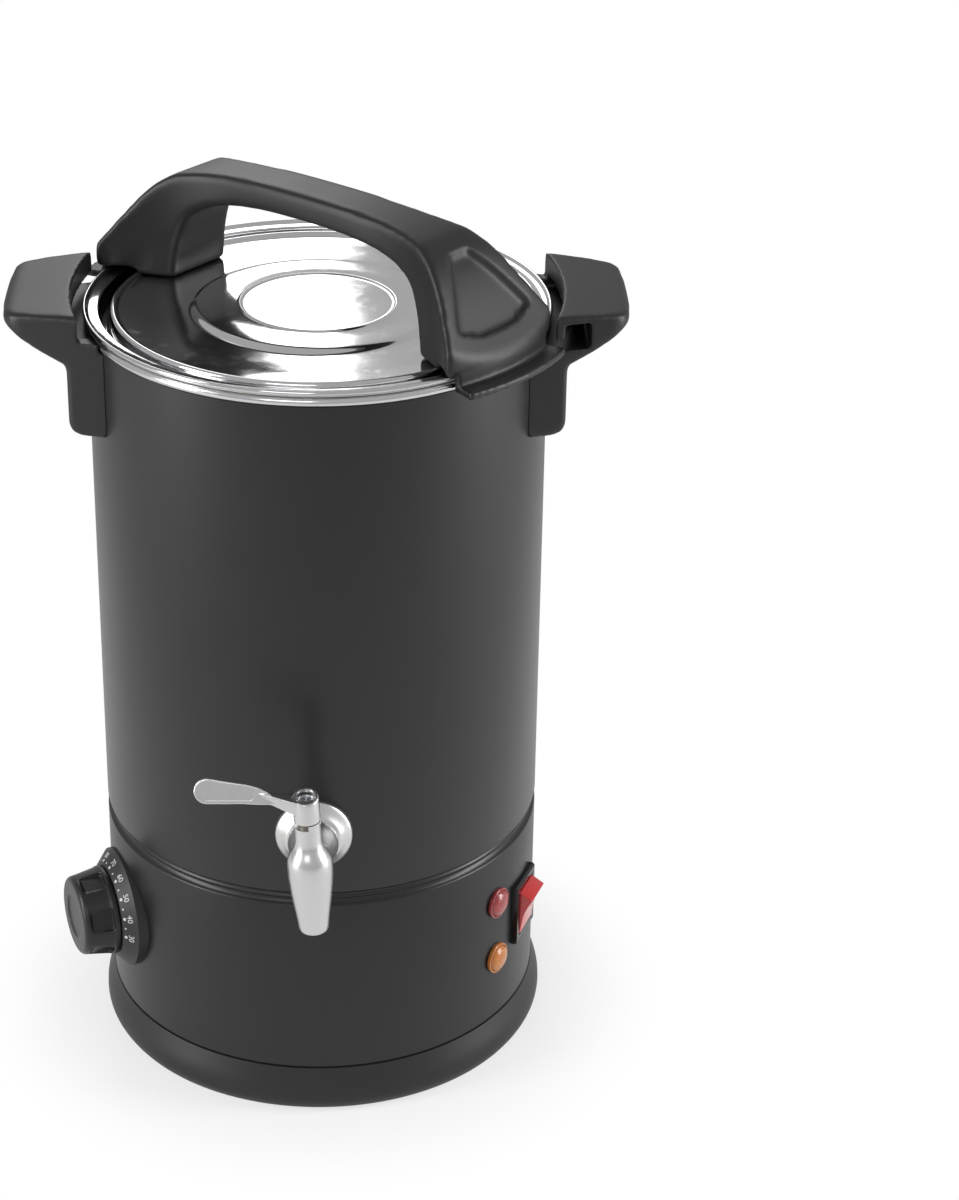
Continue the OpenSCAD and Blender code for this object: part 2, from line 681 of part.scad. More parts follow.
module tap_body() color("#cfd0d1") {
    top = barrel_top - tap_z;
    nozzle = spout_z - tap_z;
    barrel = concat([[spout_bore_r, nozzle], [4.8, nozzle]],
                    arc([4.8, nozzle + 2.6], 2.6, -90, -20, 4),
                    curve([7.5, nozzle + 4], [8.3, -18], [10.6, -6], [barrel_r, 5], 7),
                    curve([barrel_r, 10], [10.8, 15], [hub_r + 1.2, 17], [hub_r + 0.4, 20]),
                    [[hub_r, 22], [hub_r, top], [core_r + fit, top],
                     [core_r + fit, nozzle + spout_bore_len], [spout_bore_r, nozzle + spout_bore_len]]);
    // Bell-shaped shank: a step that clamps the washer, then a flare in front of it
    shank = concat([[0, 4.65], [pipe_r + 2.4, 4.65], [pipe_r + 2.4, 9], [bell_r, 9]],
                   curve([bell_r, 9.6], [bell_r - 0.2, 14], [barrel_r - 0.6, 16], [9.6, 26]),
                   [[9.6, tap_reach], [0, tap_reach]]);
    at_barrel() difference() {
        rotate_extrude($fn = 64) polygon(barrel);
        // Half of the neck's top is lower: the lever's tooth turns in this step
        translate([-hub_r - cut, -hub_r - cut, top - step_h])
            cube([2 * hub_r + 2 * cut, hub_r + cut, step_h + cut]);
        translate([-barrel_r - cut, 0, 0]) rotate([0, 90, 0])
            cylinder(r = inlet_bore_r, h = barrel_r, $fn = small_fn);
    }
    at_tap() difference() {
        union() {
            across(tank_r - 16, pipe_r, tap_y - tank_r + 12);
            translate([body_r, 0, 0]) rotate([0, 90, 0]) rotate_extrude() polygon(shank);
        }
        translate([tap_y, 0, -12]) cylinder(r = core_r + 1, h = 60);
        across(tank_r - 18, inlet_bore_r, tap_y - tank_r + 18);
    }
}

// Flanged hexagon nut inside the tank
module tap_nut() color("#c4c5c6") at_tap() {
    difference() {
        union() {
            translate([tank_r - 12.4, 0, 0]) rotate([0, 90, 0]) cylinder(r = nut_r - 2, h = 6, $fn = 6);
            across(tank_r - 6.5, nut_r, 2);
        }
        across(tank_r - 14, pipe_r + fit, 12);
    }
}

// Plug that turns in the barrel: wax comes in at its side and leaves below
module tap_core() color("#bfc1c2") at_barrel() {
    low = spout_z + spout_bore_len - tap_z + fit;
    difference() {
        translate([0, 0, low]) cylinder(r = core_r, h = hub_top - tap_z - 6 - low, $fn = small_fn);
        translate([0, 0, low - cut]) cylinder(r = 3, h = 3 - low + cut, $fn = small_fn);
        translate([-core_r - cut, 0, 0]) rotate([0, 90, 0]) cylinder(r = 3, h = core_r + cut, $fn = small_fn);
        translate([0, 0, hub_top - tap_z - 14]) cylinder(r = 1.6, h = 9, $fn = small_fn);
    }
}

// Lever: a hub cut at a slant, a rising neck and a long paddle that stands almost on edge,
// with a sunk panel. It points to the left of the tap when the tap is open.
module tap_lever() color("#cbcccd") at_barrel() rotate([0, 0, -90]) {
    top = hub_top - tap_z;
    low = barrel_top - tap_z + gap;
    neck_w = 4.4;
    neck_x = 23;
    neck = concat([[0, -neck_w]], curve([6, -neck_w], [12, -neck_w], [16, -2.4], [neck_x, -2.6]),
                  curve([neck_x, 3.4], [16, 3.2], [12, neck_w], [6, neck_w]), [[0, neck_w]]);
    difference() {
        union() {
            difference() {
                translate([0, 0, low]) cylinder(r1 = hub_r + 0.3, r2 = hub_r - 0.3, h = top - low, $fn = 64);
                translate([-10, -hub_r, top]) rotate([-hub_slant, 0, 0])
                    translate([0, -3, 0]) cube([20, 22, 8]);
            }
            intersection() {
                linear_extrude(top + 20) polygon(neck);
                side_cut(24) polygon(concat(
                    curve([0, low + 2.6], [8, low + 2.6], [12, top - 6], [neck_x, top - 5.2]),
                    curve([neck_x, top + 2.8], [14, top], [9, top - 3], [0, top - 3.6])));
            }
            on_paddle() translate([0, 0, -paddle_t / 2]) linear_extrude(paddle_t) polygon(paddle_shape(0));
            // Tooth that runs in the neck's step and stops the lever open and closed
            intersection() {
                translate([0, 0, low - gap - step_h + 0.4]) cylinder(r = hub_r - 0.1, h = step_h, $fn = 64);
                translate([0.4, -hub_r - cut, 0]) cube([hub_r + cut, hub_r + cut - 0.4, 60]);
            }
        }
        translate([0, 0, low - 2 * step_h])
            cylinder(r = core_r + fit, h = top - 6 - low + 2 * step_h + fit, $fn = small_fn);
        translate([0, 0, top - 5]) cylinder(r = 4.9, h = 10, $fn = small_fn);
        translate([0, 0, low]) cylinder(r = 1.8, h = 16, $fn = small_fn);
        // Sunk panel along the paddle
        on_paddle() translate([0, 0, paddle_t / 2 - 0.6]) linear_extrude(2) polygon(paddle_shape(1.6));
    }
}
// The paddle's own plane, which leans back and rises to its end
module on_paddle() {
    translate([0, 0, hub_top - tap_z - 3.6]) rotate([0, -paddle_rise, 0]) rotate([-paddle_turn, 0, 0])
        children();
}
// Outline of the paddle, drawn smaller by e for its panel
function paddle_shape(e) = concat(
    [[17 + 4 * e, -3.2 + e / 2], [24 + e, -4.7 + e]],
    arc([lever_len - paddle_w, 0], paddle_w - e, -90, 90, 10),
    [[24 + e, 4.7 - e], [17 + 4 * e, 3.2 - e / 2]]);

// Cross-head screw sunk in the lever's hub
module tap_screw() color("#8d9093") at_barrel() translate([0, 0, hub_top - tap_z]) {
    difference() {
        union() {
            translate([0, 0, -5 + fit]) cylinder(r = 3.6, h = 2.2, $fn = small_fn);
            translate([0, 0, -13]) cylinder(r = 1.5, h = 9, $fn = small_fn);
        }
        for (turn = [0, 90]) rotate([0, 0, turn]) translate([-2.2, -0.5, -3.9]) cube([4.4, 1, 2]);
    }
}

// ---- Lid ----

// Silicone ring that seals the lid in the collar and lies on the rim
module lid_gasket() color("#d9d6cf") {
    rotate_extrude() polygon([[107.6, plug_z + 1], [108.6, plug_z + 1], [collar_r - gap, plug_z + 4],
                              [collar_r - gap, rim_z - 1.6], [collar_r + 0.2, rim_z + gap],
                              [body_r - 0.5, rim_z + gap], [body_r - 0.5, rim_z + gap + 1],
                              [107.6, rim_z + gap + 1]]);
}

// Pressed lid: rolled edge, flange, plug groove, bead and stepped disc
module lid_pan() color("#d4d6d8") lid_place() {
    t = lid_t;
    top = concat(
        [[0, disc_z + 2], [37, disc_z + 2], [38, disc_z + 2.8], [39.4, disc_z + 2]],
        curve([58, disc_z + 2], [61, disc_z + 2], [61, disc_z], [64, disc_z], 4),
        [[97, disc_z]],
        curve([98, disc_z + 0.2], [99, disc_z + 2], [101, disc_z + 2], [101.6, disc_z], 4),
        [[102.4, plug_z + 1.6], [103.4, plug_z + t], [105.4, plug_z + t], [106.4, plug_z + 1.8],
         [106.6, flange_z + t - 0.6], [107.2, flange_z + t], [lid_r - 2.6, flange_z + t]],
        arc([lid_r - 1.2, flange_z + 1.2], 1.2, 150, -90, 8));
    under = concat(
        [[lid_r - 2, flange_z], [107, flange_z], [107.2, plug_z + 1.4], [105.8, plug_z],
         [103, plug_z], [101.6, plug_z + 1.2], [100.8, disc_z + 0.4]],
        curve([100.2, disc_z + 1.1], [99.6, disc_z + 1], [98.8, disc_z - t], [97, disc_z - t], 4),
        [[64, disc_z - t]],
        curve([63.6, disc_z - t], [60.4, disc_z - t], [60.4, disc_z + 2 - t], [57.6, disc_z + 2 - t], 4),
        [[0, disc_z + 2 - t]]);
    difference() {
        rotate_extrude() polygon(concat(top, under));
        for (x = [-1, 1], y = [-1, 1]) translate([x * lid_screw_x, y * lid_screw_y, disc_z - 2])
            cylinder(r = 2.2, h = 4, $fn = small_fn);
    }
}

// Bridge handle with fan-shaped ends and a locking lug below each end
module lid_handle() color("#29292b") lid_place() {
    w = grip_w / 2;
    fan_x = fan_r * cos(fan_half);
    fan_y = fan_r * sin(fan_half);
    flare = curve([42, w], [76, w], [96, w + 12], [fan_x, fan_y], 10);
    end_arc = arc([0, 0], fan_r, fan_half, -fan_half, 12);
    flare_back = [for (i = [len(flare) - 1:-1:0]) [flare[i][0], -flare[i][1]]];
    right_side = concat(flare, end_arc, flare_back);
    plan = concat(right_side, [for (p = right_side) [-p[0], -p[1]]]);
    foot_z = flange_z + lid_t + 1.8;
    half_top = concat([[fan_r, foot_z + 4]],
                      curve([fan_r - 3, foot_z + 8], [108, foot_z + 18], [98, grip_top - 20],
                            [86, grip_top - 11]),
                      curve([78, grip_top - 6], [60, grip_top - 1.5], [30, grip_top], [0, grip_top], 8));
    half_under = concat(curve([0, grip_top - 14], [34, grip_top - 14], [64, grip_top - 17],
                              [72, grip_top - 30], 8),
                        curve([75, grip_top - 38], [78, disc_z + 12], [79, disc_z + 5],
                              [foot_in - 2, disc_z + fit], 4),
                        [[foot_out, disc_z + fit], [foot_out + 0.3, foot_z], [fan_r, foot_z]]);
    outline = concat(half_top, mirrored(half_top), mirrored(half_under), half_under);
    difference() {
        union() {
            intersection() {
                translate([0, 0, rim_z - 10]) linear_extrude(90) polygon(plan);
                side_cut(120) polygon(outline);
            }
            for (side = [0, 180]) rotate([0, 0, side]) lug(foot_z);
        }
        // Sunk panels in the sloping faces of the fans
        for (side = [0, 180]) rotate([0, 0, side]) intersection() {
            translate([0, 0, rim_z - 10]) linear_extrude(90)
                polygon(concat(arc([0, 0], fan_r - 5, 15.5, -15.5, 6), [[84, -11], [84, 11]]));
            side_cut(120) polygon([[80, grip_top - 9.8], [88, grip_top - 13.8], [98, grip_top - 21.6],
                                   [108, foot_z + 16.6], [fan_r, foot_z + 3], [fan_r, grip_top + 5],
                                   [80, grip_top + 5]]);
        }
        // Clearance over the lid's raised bead
        rotate_extrude() translate([foot_out + 0.1, disc_z - cut]) square([6, foot_z - disc_z + cut + 0.4]);
        for (x = [-1, 1], y = [-1, 1]) translate([x * lid_screw_x, y * lid_screw_y, disc_z])
            cylinder(r = 1.7, h = 14, $fn = small_fn);
    }
}

// A lug: a curved plate outside the lid's edge, joined to the fan above it
module lug(foot_z) {
    sector = concat([[0, 0]], arc([0, 0], lug_r, -lug_half, lug_half, 10));
    intersection() {
        rotate_extrude() polygon([[web_in, lug_low], [lug_r - 1.2, lug_low], [lug_r, lug_low + 1.2],
                                  [lug_r, lug_top - 0.8], [lug_r - 0.8, lug_top], [fan_r, lug_top],
                                  [fan_r, foot_z], [fan_r - 1, foot_z + 4], [106, foot_z + 4],
                                  [106, foot_z], [web_in, foot_z]]);
        linear_extrude(rim_z + 60) polygon(sector);
    }
}

module lid_screws() color("#b4b7ba") lid_place() {
    for (x = [-1, 1], y = [-1, 1]) translate([x * lid_screw_x, y * lid_screw_y, 0]) {
        translate([0, 0, disc_z - lid_t - 2 - fit]) cylinder(r1 = 3, r2 = 3.8, h = 2, $fn = small_fn);
        translate([0, 0, disc_z - lid_t - 1]) cylinder(r = 1.65, h = 13, $fn = small_fn);
    }
}

outer_shell();
rim_collar();
handle_rivets();
wax_tank();
heater_plate();
heating_element();
heater_clamp();
thermal_cutout();
base_ring();
bottom_plate();
base_screws();
plate_screws();
rubber_feet();
terminal_block();
handle_left();
handle_right();
dial_bezel();
thermostat();
thermostat_screws();
thermostat_bulb();
dial_knob();
dial_shaft();
switch_housing();
switch_terminals();
switch_rocker();
heat_lamp_lens();
heat_lamp_body();
warm_lamp_lens();
warm_lamp_body();
mains_inlet();
inlet_pins();
inlet_screws();
tap_washer();
tap_seals();
tap_body();
tap_nut();
tap_core();
tap_lever();
tap_screw();
lid_gasket();
lid_pan();
lid_handle();
lid_screws();
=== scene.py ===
# %% [markdown]
# # Dressing a candle wax melter
# The melter is an electric pot for melting candle wax: a black double-walled steel pot with a
# polished rim and lid, moulded handles, a lever tap, a dial, a rocker switch and two pilot lamps.
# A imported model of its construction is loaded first. It fixes every size and place. This script
# models the pressed, moulded and cast pieces again with their soft edges, gives every piece its
# finish, and sets up the floor, the lamps and the camera.

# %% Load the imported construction
import math
import bpy
from mathutils import Matrix, Vector


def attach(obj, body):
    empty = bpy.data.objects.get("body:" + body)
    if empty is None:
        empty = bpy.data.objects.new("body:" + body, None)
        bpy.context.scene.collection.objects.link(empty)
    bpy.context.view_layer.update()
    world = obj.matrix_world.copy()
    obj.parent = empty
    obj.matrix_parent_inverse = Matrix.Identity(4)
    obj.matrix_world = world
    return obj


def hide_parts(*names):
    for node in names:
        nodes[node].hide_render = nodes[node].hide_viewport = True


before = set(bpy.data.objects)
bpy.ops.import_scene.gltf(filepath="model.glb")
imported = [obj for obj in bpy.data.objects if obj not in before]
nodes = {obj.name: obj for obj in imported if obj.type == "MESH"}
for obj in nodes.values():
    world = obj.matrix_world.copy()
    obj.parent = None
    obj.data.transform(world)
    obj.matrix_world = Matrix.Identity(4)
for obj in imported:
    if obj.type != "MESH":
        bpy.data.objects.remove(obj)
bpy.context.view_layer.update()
mm = 0.001

# %% [markdown]
# ## The camera
# The picture was taken in front of the pot, from well above it. A camera could be turned by eye
# until the pot fits. Here its place, its turn and its lens come from the ellipses of the rim, the
# groove and the base, which only one camera draws where they lie in the picture. Its axes are
# worked out one by one, because a lens that is a little rolled can't be set with Track To.

# %% Camera
camera_place = Vector((16.2, -1370.0, 944.8)) * mm
camera_turn = 0.0479
camera_tilt = 0.4762
camera_roll = 0.0191
camera_lens = 89.67

forward = Vector((math.sin(camera_turn) * math.cos(camera_tilt),
                  math.cos(camera_turn) * math.cos(camera_tilt), -math.sin(camera_tilt)))
level_right = Vector((math.cos(camera_turn), -math.sin(camera_turn), 0.0))
level_up = level_right.cross(forward)
right = level_right * math.cos(camera_roll) + level_up * math.sin(camera_roll)
up = level_up * math.cos(camera_roll) - level_right * math.sin(camera_roll)

camera = bpy.data.objects.new("camera", bpy.data.cameras.new("camera"))
bpy.context.scene.collection.objects.link(camera)
camera.data.lens = camera_lens
camera.data.sensor_width = 36
camera.data.sensor_fit = "AUTO"
camera.data.clip_end = 30
camera_axes = Matrix((right, up, -forward)).transposed().to_4x4()
camera.matrix_world = Matrix.Translation(camera_place) @ camera_axes
bpy.context.scene.camera = camera
print("camera looks along", [round(v, 3) for v in forward])

# %% [markdown]
# ## Shader maths as sums
# A finish is a small network of nodes. It could be wired up link by link, but sums are easier to
# read, so one class wraps a socket: adding or multiplying two of them adds a Math node. Every
# other node comes from one method, which takes the node's type, its settings and its inputs.

# %% The socket class
class Socket:
    """An output socket of a shader network, for use in sums."""

    def __init__(self, tree, socket):
        self.tree = tree
        self.socket = socket

    def node(self, kind, settings=None, out=0, **inputs):
        """Adds a node. Keys of inputs are socket names with _ for a space, or in0, in1, ..."""
        new = self.tree.nodes.new(kind)
        for key, value in (settings or {}).items():
            setattr(new, key, value)
        for key, value in inputs.items():
            index = int(key[2:]) if key[:2] == "in" and key[2:].isdigit() else key.replace("_", " ")
            if isinstance(value, Socket):
                self.tree.links.new(value.socket, new.inputs[index])
            else:
                new.inputs[index].default_value = value
        return Socket(self.tree, new.outputs[out])

    def beside(self, name):
        """Another output of the node that this socket belongs to."""
        return Socket(self.tree, self.socket.node.outputs[name])

    def math(self, operation, other=0.0):
        return self.node("ShaderNodeMath", {"operation": operation}, in0=self, in1=other)

    def __add__(self, other):
        return self.math("ADD", other)

    def __radd__(self, other):
        return self.math("ADD", other)

    def __sub__(self, other):
        return self.math("SUBTRACT", other)

    def __rsub__(self, other):
        return self.node("ShaderNodeMath", {"operation": "SUBTRACT"}, in0=other, in1=self)

    def __mul__(self, other):
        return self.math("MULTIPLY", other)

    def __rmul__(self, other):
        return self.math("MULTIPLY", other)

    def over(self, low, high):
        """0 below low, 1 above high, and smooth in between."""
        return self.node("ShaderNodeMapRange", {"interpolation_type": "SMOOTHSTEP"},
                         Value=self, From_Min=low, From_Max=high)

    def blend(self, first, second):
        """A colour between first and second, by this value. A Mix node's colours are inputs 6 and 7."""
        return self.node("ShaderNodeMix", {"data_type": "RGBA"}, out=2, in0=self,
                         in6=first if isinstance(first, Socket) else (*first, 1),
                         in7=second if isinstance(second, Socket) else (*second, 1))


# %% [markdown]
# ## Starting a finish
# Every finish starts the same way: a Principled shader and the object's own coordinates, in
# metres. These need no unwrapping, and a pattern on them stays put when the piece moves. Noise
# gives drifts of gloss and fine grain, and the distance from the pot's axis gives rings.

# %% Helpers for finishes
def start(name, metal=0.0, **fixed):
    """A new material with its shader, and its coordinates as a Socket."""
    material = bpy.data.materials.new(name)
    material.use_nodes = True
    tree = material.node_tree
    shader = tree.nodes["Principled BSDF"]
    shader.inputs["Metallic"].default_value = metal
    for key, value in fixed.items():
        shader.inputs[key.replace("_", " ")].default_value = value
    place = Socket(tree, tree.nodes.new("ShaderNodeTexCoord").outputs["Object"])
    return material, shader, place


def plug(shader, name, value):
    """Links a Socket to an input of the shader."""
    value.tree.links.new(value.socket, shader.inputs[name])


def noise(place, size, detail, stretch=(1, 1, 1)):
    """Noise with features of about size metres, stretched by axis."""
    scaled = place.node("ShaderNodeMapping", Vector=place, Scale=stretch)
    return scaled.node("ShaderNodeTexNoise", Vector=scaled, Scale=1 / size, Detail=detail)


def axis_distance(place):
    """How far a point lies from the pot's upright axis, in metres."""
    x = place.node("ShaderNodeSeparateXYZ", Vector=place).beside("X")
    y = x.beside("Y")
    return (x * x + y * y).math("SQRT")


def bump(shader, height, depth, strength=1.0, under=None):
    """Feeds the shader's normal from a height that is depth metres deep."""
    made = height.node("ShaderNodeBump", Height=height, Distance=depth, Strength=strength,
                       **({"Normal": under} if under else {}))
    plug(shader, "Normal", made)
    return made


def dimmed(colour, share):
    """A darker colour, with this share of its brightness."""
    return tuple(c * share for c in colour)


# %% [markdown]
# ## Coated steel
# The shell is sheet steel with a baked satin coating, and the tank inside has a non-stick one.
# Close up such a coating has a fine orange peel, and its gloss drifts a little from place to
# place, which softens the long highlights. One even colour and gloss would look like paper.

# %% Coated steel
def coated(name, colour, rough, peel=0.6 * mm, depth=0.012 * mm):
    material, shader, place = start(name, Specular_IOR_Level=0.5)
    cloud = noise(place, 60 * mm, 3)
    fine = noise(place, peel, 3)
    plug(shader, "Base Color", cloud.over(0.3, 0.7).blend(dimmed(colour, 0.86), colour))
    plug(shader, "Roughness", rough - 0.04 + 0.06 * cloud + 0.04 * fine)
    bump(shader, fine, depth)
    return material


shell_coat = coated("shell coating", (0.0080, 0.0080, 0.0088), 0.32)
nonstick = coated("non-stick coating", (0.012, 0.012, 0.013), 0.32, 0.9 * mm, 0.02 * mm)
print("made", shell_coat.name, "and", nonstick.name)

# %% [markdown]
# ## Moulded plastic
# The handles, the base and the knob are moulded in dark nylon. The mould is spark eroded, which
# leaves a fine even grain, and edges that are rubbed in use are a little smoother and lighter.
# Cells look more like that grain than noise does, so most of the bump comes from them. The same
# finish with other colours and grain serves for rubber, silicone and print.

# %% Moulded plastic
def moulded(name, colour, rough, grain=0.35 * mm, depth=0.02 * mm, wear=0.35):
    material, shader, place = start(name, Specular_IOR_Level=0.45)
    cloud = noise(place, 35 * mm, 3)
    cells = place.node("ShaderNodeTexVoronoi", {"feature": "SMOOTH_F1"}, Vector=place, Scale=1 / grain)
    fine = noise(place, grain * 0.6, 2)
    edge = place.node("ShaderNodeNewGeometry").beside("Pointiness").over(0.51, 0.60)
    base = cloud.over(0.3, 0.7).blend(dimmed(colour, 0.88), colour)
    worn = tuple(c * 1.5 + 0.004 for c in colour)
    plug(shader, "Base Color", (edge * wear).blend(base, worn))
    plug(shader, "Roughness", rough - 0.03 + 0.06 * cloud - 0.08 * (edge * wear))
    bump(shader, cells * 0.7 + fine * 0.3, depth)
    return material


handle_plastic = moulded("handle plastic", (0.0098, 0.0098, 0.0106), 0.43)
base_plastic = moulded("base plastic", (0.013, 0.013, 0.014), 0.46, 0.5 * mm)
bezel_plastic = moulded("bezel plastic", (0.022, 0.022, 0.023), 0.50, 0.5 * mm, 0.05 * mm)
knob_plastic = moulded("knob plastic", (0.013, 0.013, 0.014), 0.36, 0.3 * mm, 0.010 * mm)
phenolic = moulded("phenolic", (0.07, 0.045, 0.03), 0.5)
rubber = moulded("rubber", (0.015, 0.015, 0.015), 0.75, 0.8 * mm, 0.04 * mm, 0.0)
gloss_black = moulded("gloss black plastic", (0.010, 0.010, 0.011), 0.16, 1.5 * mm, 0.004 * mm, 0.0)
lamp_white = moulded("white nylon", (0.75, 0.73, 0.68), 0.5, 0.4 * mm, 0.01 * mm, 0.0)
silicone = moulded("pale silicone", (0.62, 0.61, 0.58), 0.5, 1.0 * mm, 0.02 * mm, 0.0)
red_silicone = moulded("red silicone", (0.38, 0.08, 0.04), 0.5, 1.0 * mm, 0.02 * mm, 0.0)
print_white = moulded("white print", (0.72, 0.72, 0.72), 0.5, 0.3 * mm, 0.003 * mm, 0.0)
print("made the moulded finishes, from", handle_plastic.name, "to", print_white.name)

# %% [markdown]
# ## Polished and spun steel
# The lid and the rim are pressed from stainless sheet and polished on a lathe, so the finest
# marks run round the pot's axis, and a noise along the distance from the axis gives them. Pressed
# sheet is never quite flat, so a slow wave lies under the rings and bends what is mirrored.

# %% Spun steel
def spun_steel(name, colour, rough, ring=0.5 * mm, depth=0.002 * mm, wave=0.0):
    material, shader, place = start(name, metal=1.0)
    radius = axis_distance(place)
    rings = radius.node("ShaderNodeTexNoise", {"noise_dimensions": "1D"},
                        W=radius, Scale=1 / ring, Detail=3.0)
    cloud = noise(place, 25 * mm, 3)
    smear = noise(place, 6 * mm, 4, (1, 1, 0.4))
    plug(shader, "Base Color", cloud.blend(dimmed(colour, 0.94), colour))
    plug(shader, "Roughness", rough + 0.05 * cloud + 0.04 * rings + 0.05 * smear.over(0.5, 0.75))
    slow = bump(shader, noise(place, 45 * mm, 1), wave) if wave else None
    bump(shader, rings, depth, 0.5, slow)
    return material


lid_steel = spun_steel("lid steel", (0.66, 0.66, 0.67), 0.05, wave=0.35 * mm)
rim_steel = spun_steel("rim steel", (0.70, 0.70, 0.71), 0.10, 0.8 * mm)
print("made", lid_steel.name, "and", rim_steel.name)

# %% [markdown]
# ## Satin steel, plated steel and the other metals
# The tap is cast, bead blasted and lightly polished, so it shines softly. Screws and brackets
# are zinc plated. All of these are an even fine noise on a metal of the right colour, so one
# function makes them, and only the colour, the gloss and the grain change. The dark steel is
# also given to the tap's core, where its dark colour is painted shade in the stop notch.

# %% Other metals
def blasted(name, colour, rough, grain=0.25 * mm, depth=0.006 * mm, cloudiness=0.08):
    material, shader, place = start(name, metal=1.0)
    cloud = noise(place, 9 * mm, 3)
    fine = noise(place, grain, 3)
    plug(shader, "Base Color", cloud.blend(dimmed(colour, 1 - cloudiness), colour))
    plug(shader, "Roughness", rough - 0.04 + 0.08 * cloud + 0.06 * fine)
    bump(shader, fine, depth)
    return material


tap_steel = blasted("tap steel", (0.68, 0.68, 0.675), 0.26, 0.25 * mm, 0.0015 * mm, 0.04)
zinc = blasted("zinc plate", (0.56, 0.57, 0.60), 0.34, 0.4 * mm)
bright_steel = blasted("bright steel", (0.70, 0.70, 0.71), 0.16)
cast_aluminium = blasted("cast aluminium", (0.58, 0.58, 0.59), 0.5, 0.6 * mm, 0.03 * mm)
# Dark steel is the heating element's own sheath colour, and on the tap's core it is painted shade.
dark_steel_and_painted_shade = blasted("dark steel and painted shade", (0.22, 0.20, 0.18), 0.45, 0.5 * mm, 0.01 * mm, 0.3)
copper = blasted("copper", (0.72, 0.40, 0.26), 0.28)
brass = blasted("brass", (0.72, 0.56, 0.24), 0.25)
print("made the other metals, from", tap_steel.name, "to", brass.name)

# %% [markdown]
# ## Translucent red and amber
# The rocker and the lamp lenses are clear coloured plastic. Light goes in and comes back from
# the white parts behind. Real see-through plastic is slow to render and needs all that lies
# behind it, so that light is painted into the colour instead: a brighter glow colour shows in a
# pattern under a glossy skin, and facets like those inside a lens break the light up and set
# where the painted glow is brightest.

# %% Coloured plastics
def clear_colour(name, colour, glow, facets=0.0, size=1.2 * mm):
    material, shader, place = start(name, Coat_Weight=0.6, Coat_Roughness=0.05, Specular_IOR_Level=0.5)
    cloud = noise(place, 5 * mm, 2)
    cells = place.node("ShaderNodeTexVoronoi", {"feature": "F1"}, Vector=place, Scale=1 / size)
    pattern = cells.over(0.1, 0.7) if facets else cloud
    # Painted light: the glow colour stands in for the light that comes back through the plastic.
    plug(shader, "Base Color", pattern.blend(colour, glow))
    plug(shader, "Roughness", 0.12 + 0.08 * cloud)
    bump(shader, cells if facets else cloud, facets if facets else 0.004 * mm)
    return material


rocker_red = clear_colour("rocker red", (0.52, 0.008, 0.010), (0.66, 0.018, 0.018))
lens_red = clear_colour("lens red", (0.24, 0.010, 0.014), (0.36, 0.045, 0.045), 0.08 * mm, 0.55 * mm)
lens_amber = clear_colour("lens amber", (0.36, 0.09, 0.008), (0.58, 0.20, 0.03), 0.10 * mm, 0.6 * mm)
print("made", rocker_red.name + ",", lens_red.name, "and", lens_amber.name)

# %% [markdown]
# ## Ceramic
# The terminal block under the tank gets hot, so it is a matt pale ceramic with a cloudy surface.

# %% Ceramic
ceramic, ceramic_shader, ceramic_place = start("steatite", Specular_IOR_Level=0.4)
ceramic_cloud = noise(ceramic_place, 4 * mm, 4)
plug(ceramic_shader, "Base Color", ceramic_cloud.blend((0.60, 0.57, 0.50), (0.74, 0.72, 0.66)))
plug(ceramic_shader, "Roughness", 0.55 + 0.15 * ceramic_cloud)
bump(ceramic_shader, ceramic_cloud, 0.03 * mm)
print("made", ceramic.name)

# %% [markdown]
# ## A finish for every node
# Each node of the construction takes a finish by name, also where nothing shows of it until the
# lid or the base comes off. The pieces that are modelled again below get theirs when they are
# handed over.

# %% Give each node its finish
finishes = {
    "outer_shell": shell_coat, "rim_collar": rim_steel, "handle_rivets": bright_steel,
    "wax_tank": nonstick, "heater_plate": cast_aluminium, "heating_element": dark_steel_and_painted_shade,
    "heater_clamp": zinc, "thermal_cutout": phenolic, "base_ring": base_plastic,
    "bottom_plate": zinc, "base_screws": zinc, "plate_screws": zinc, "rubber_feet": rubber,
    "terminal_block": ceramic, "handle_left": handle_plastic, "handle_right": handle_plastic,
    "dial_bezel": bezel_plastic, "thermostat": zinc, "thermostat_screws": zinc,
    "thermostat_bulb": copper, "dial_knob": knob_plastic, "dial_shaft": brass,
    "switch_housing": gloss_black, "switch_terminals": brass, "switch_rocker": rocker_red,
    "heat_lamp_lens": lens_red, "heat_lamp_body": lamp_white, "warm_lamp_lens": lens_amber,
    "warm_lamp_body": lamp_white, "mains_inlet": gloss_black, "inlet_pins": brass,
    "inlet_screws": zinc, "tap_washer": tap_steel, "tap_seals": red_silicone,
    # The tap's core is dark steel so that the stop notch stays dark: its colour there is painted shade.
    "tap_body": tap_steel, "tap_nut": tap_steel, "tap_core": dark_steel_and_painted_shade, "tap_lever": tap_steel,
    "tap_screw": zinc, "lid_gasket": silicone, "lid_pan": lid_steel,
    "lid_handle": handle_plastic, "lid_screws": zinc,
}
for name, material in finishes.items():
    nodes[name].data.materials.clear()
    nodes[name].data.materials.append(material)
print("finished", len(finishes), "of", len(nodes), "nodes")

# %% [markdown]
# ## Drawing outlines
# Nearly every piece starts as an outline. Arcs and curves with four guide points draw the bends
# of a moulding or a pressing better than straight runs with a bevel, because their tightness can
# change along the way. Sizes are in millimetres and angles in degrees.

# %% Curves for outlines
def arc(centre, radius, start_angle, end_angle, steps=8):
    """Points of an arc."""
    turns = [math.radians(start_angle + (end_angle - start_angle) * i / steps) for i in range(steps + 1)]
    return [(centre[0] + radius * math.cos(a), centre[1] + radius * math.sin(a)) for a in turns]


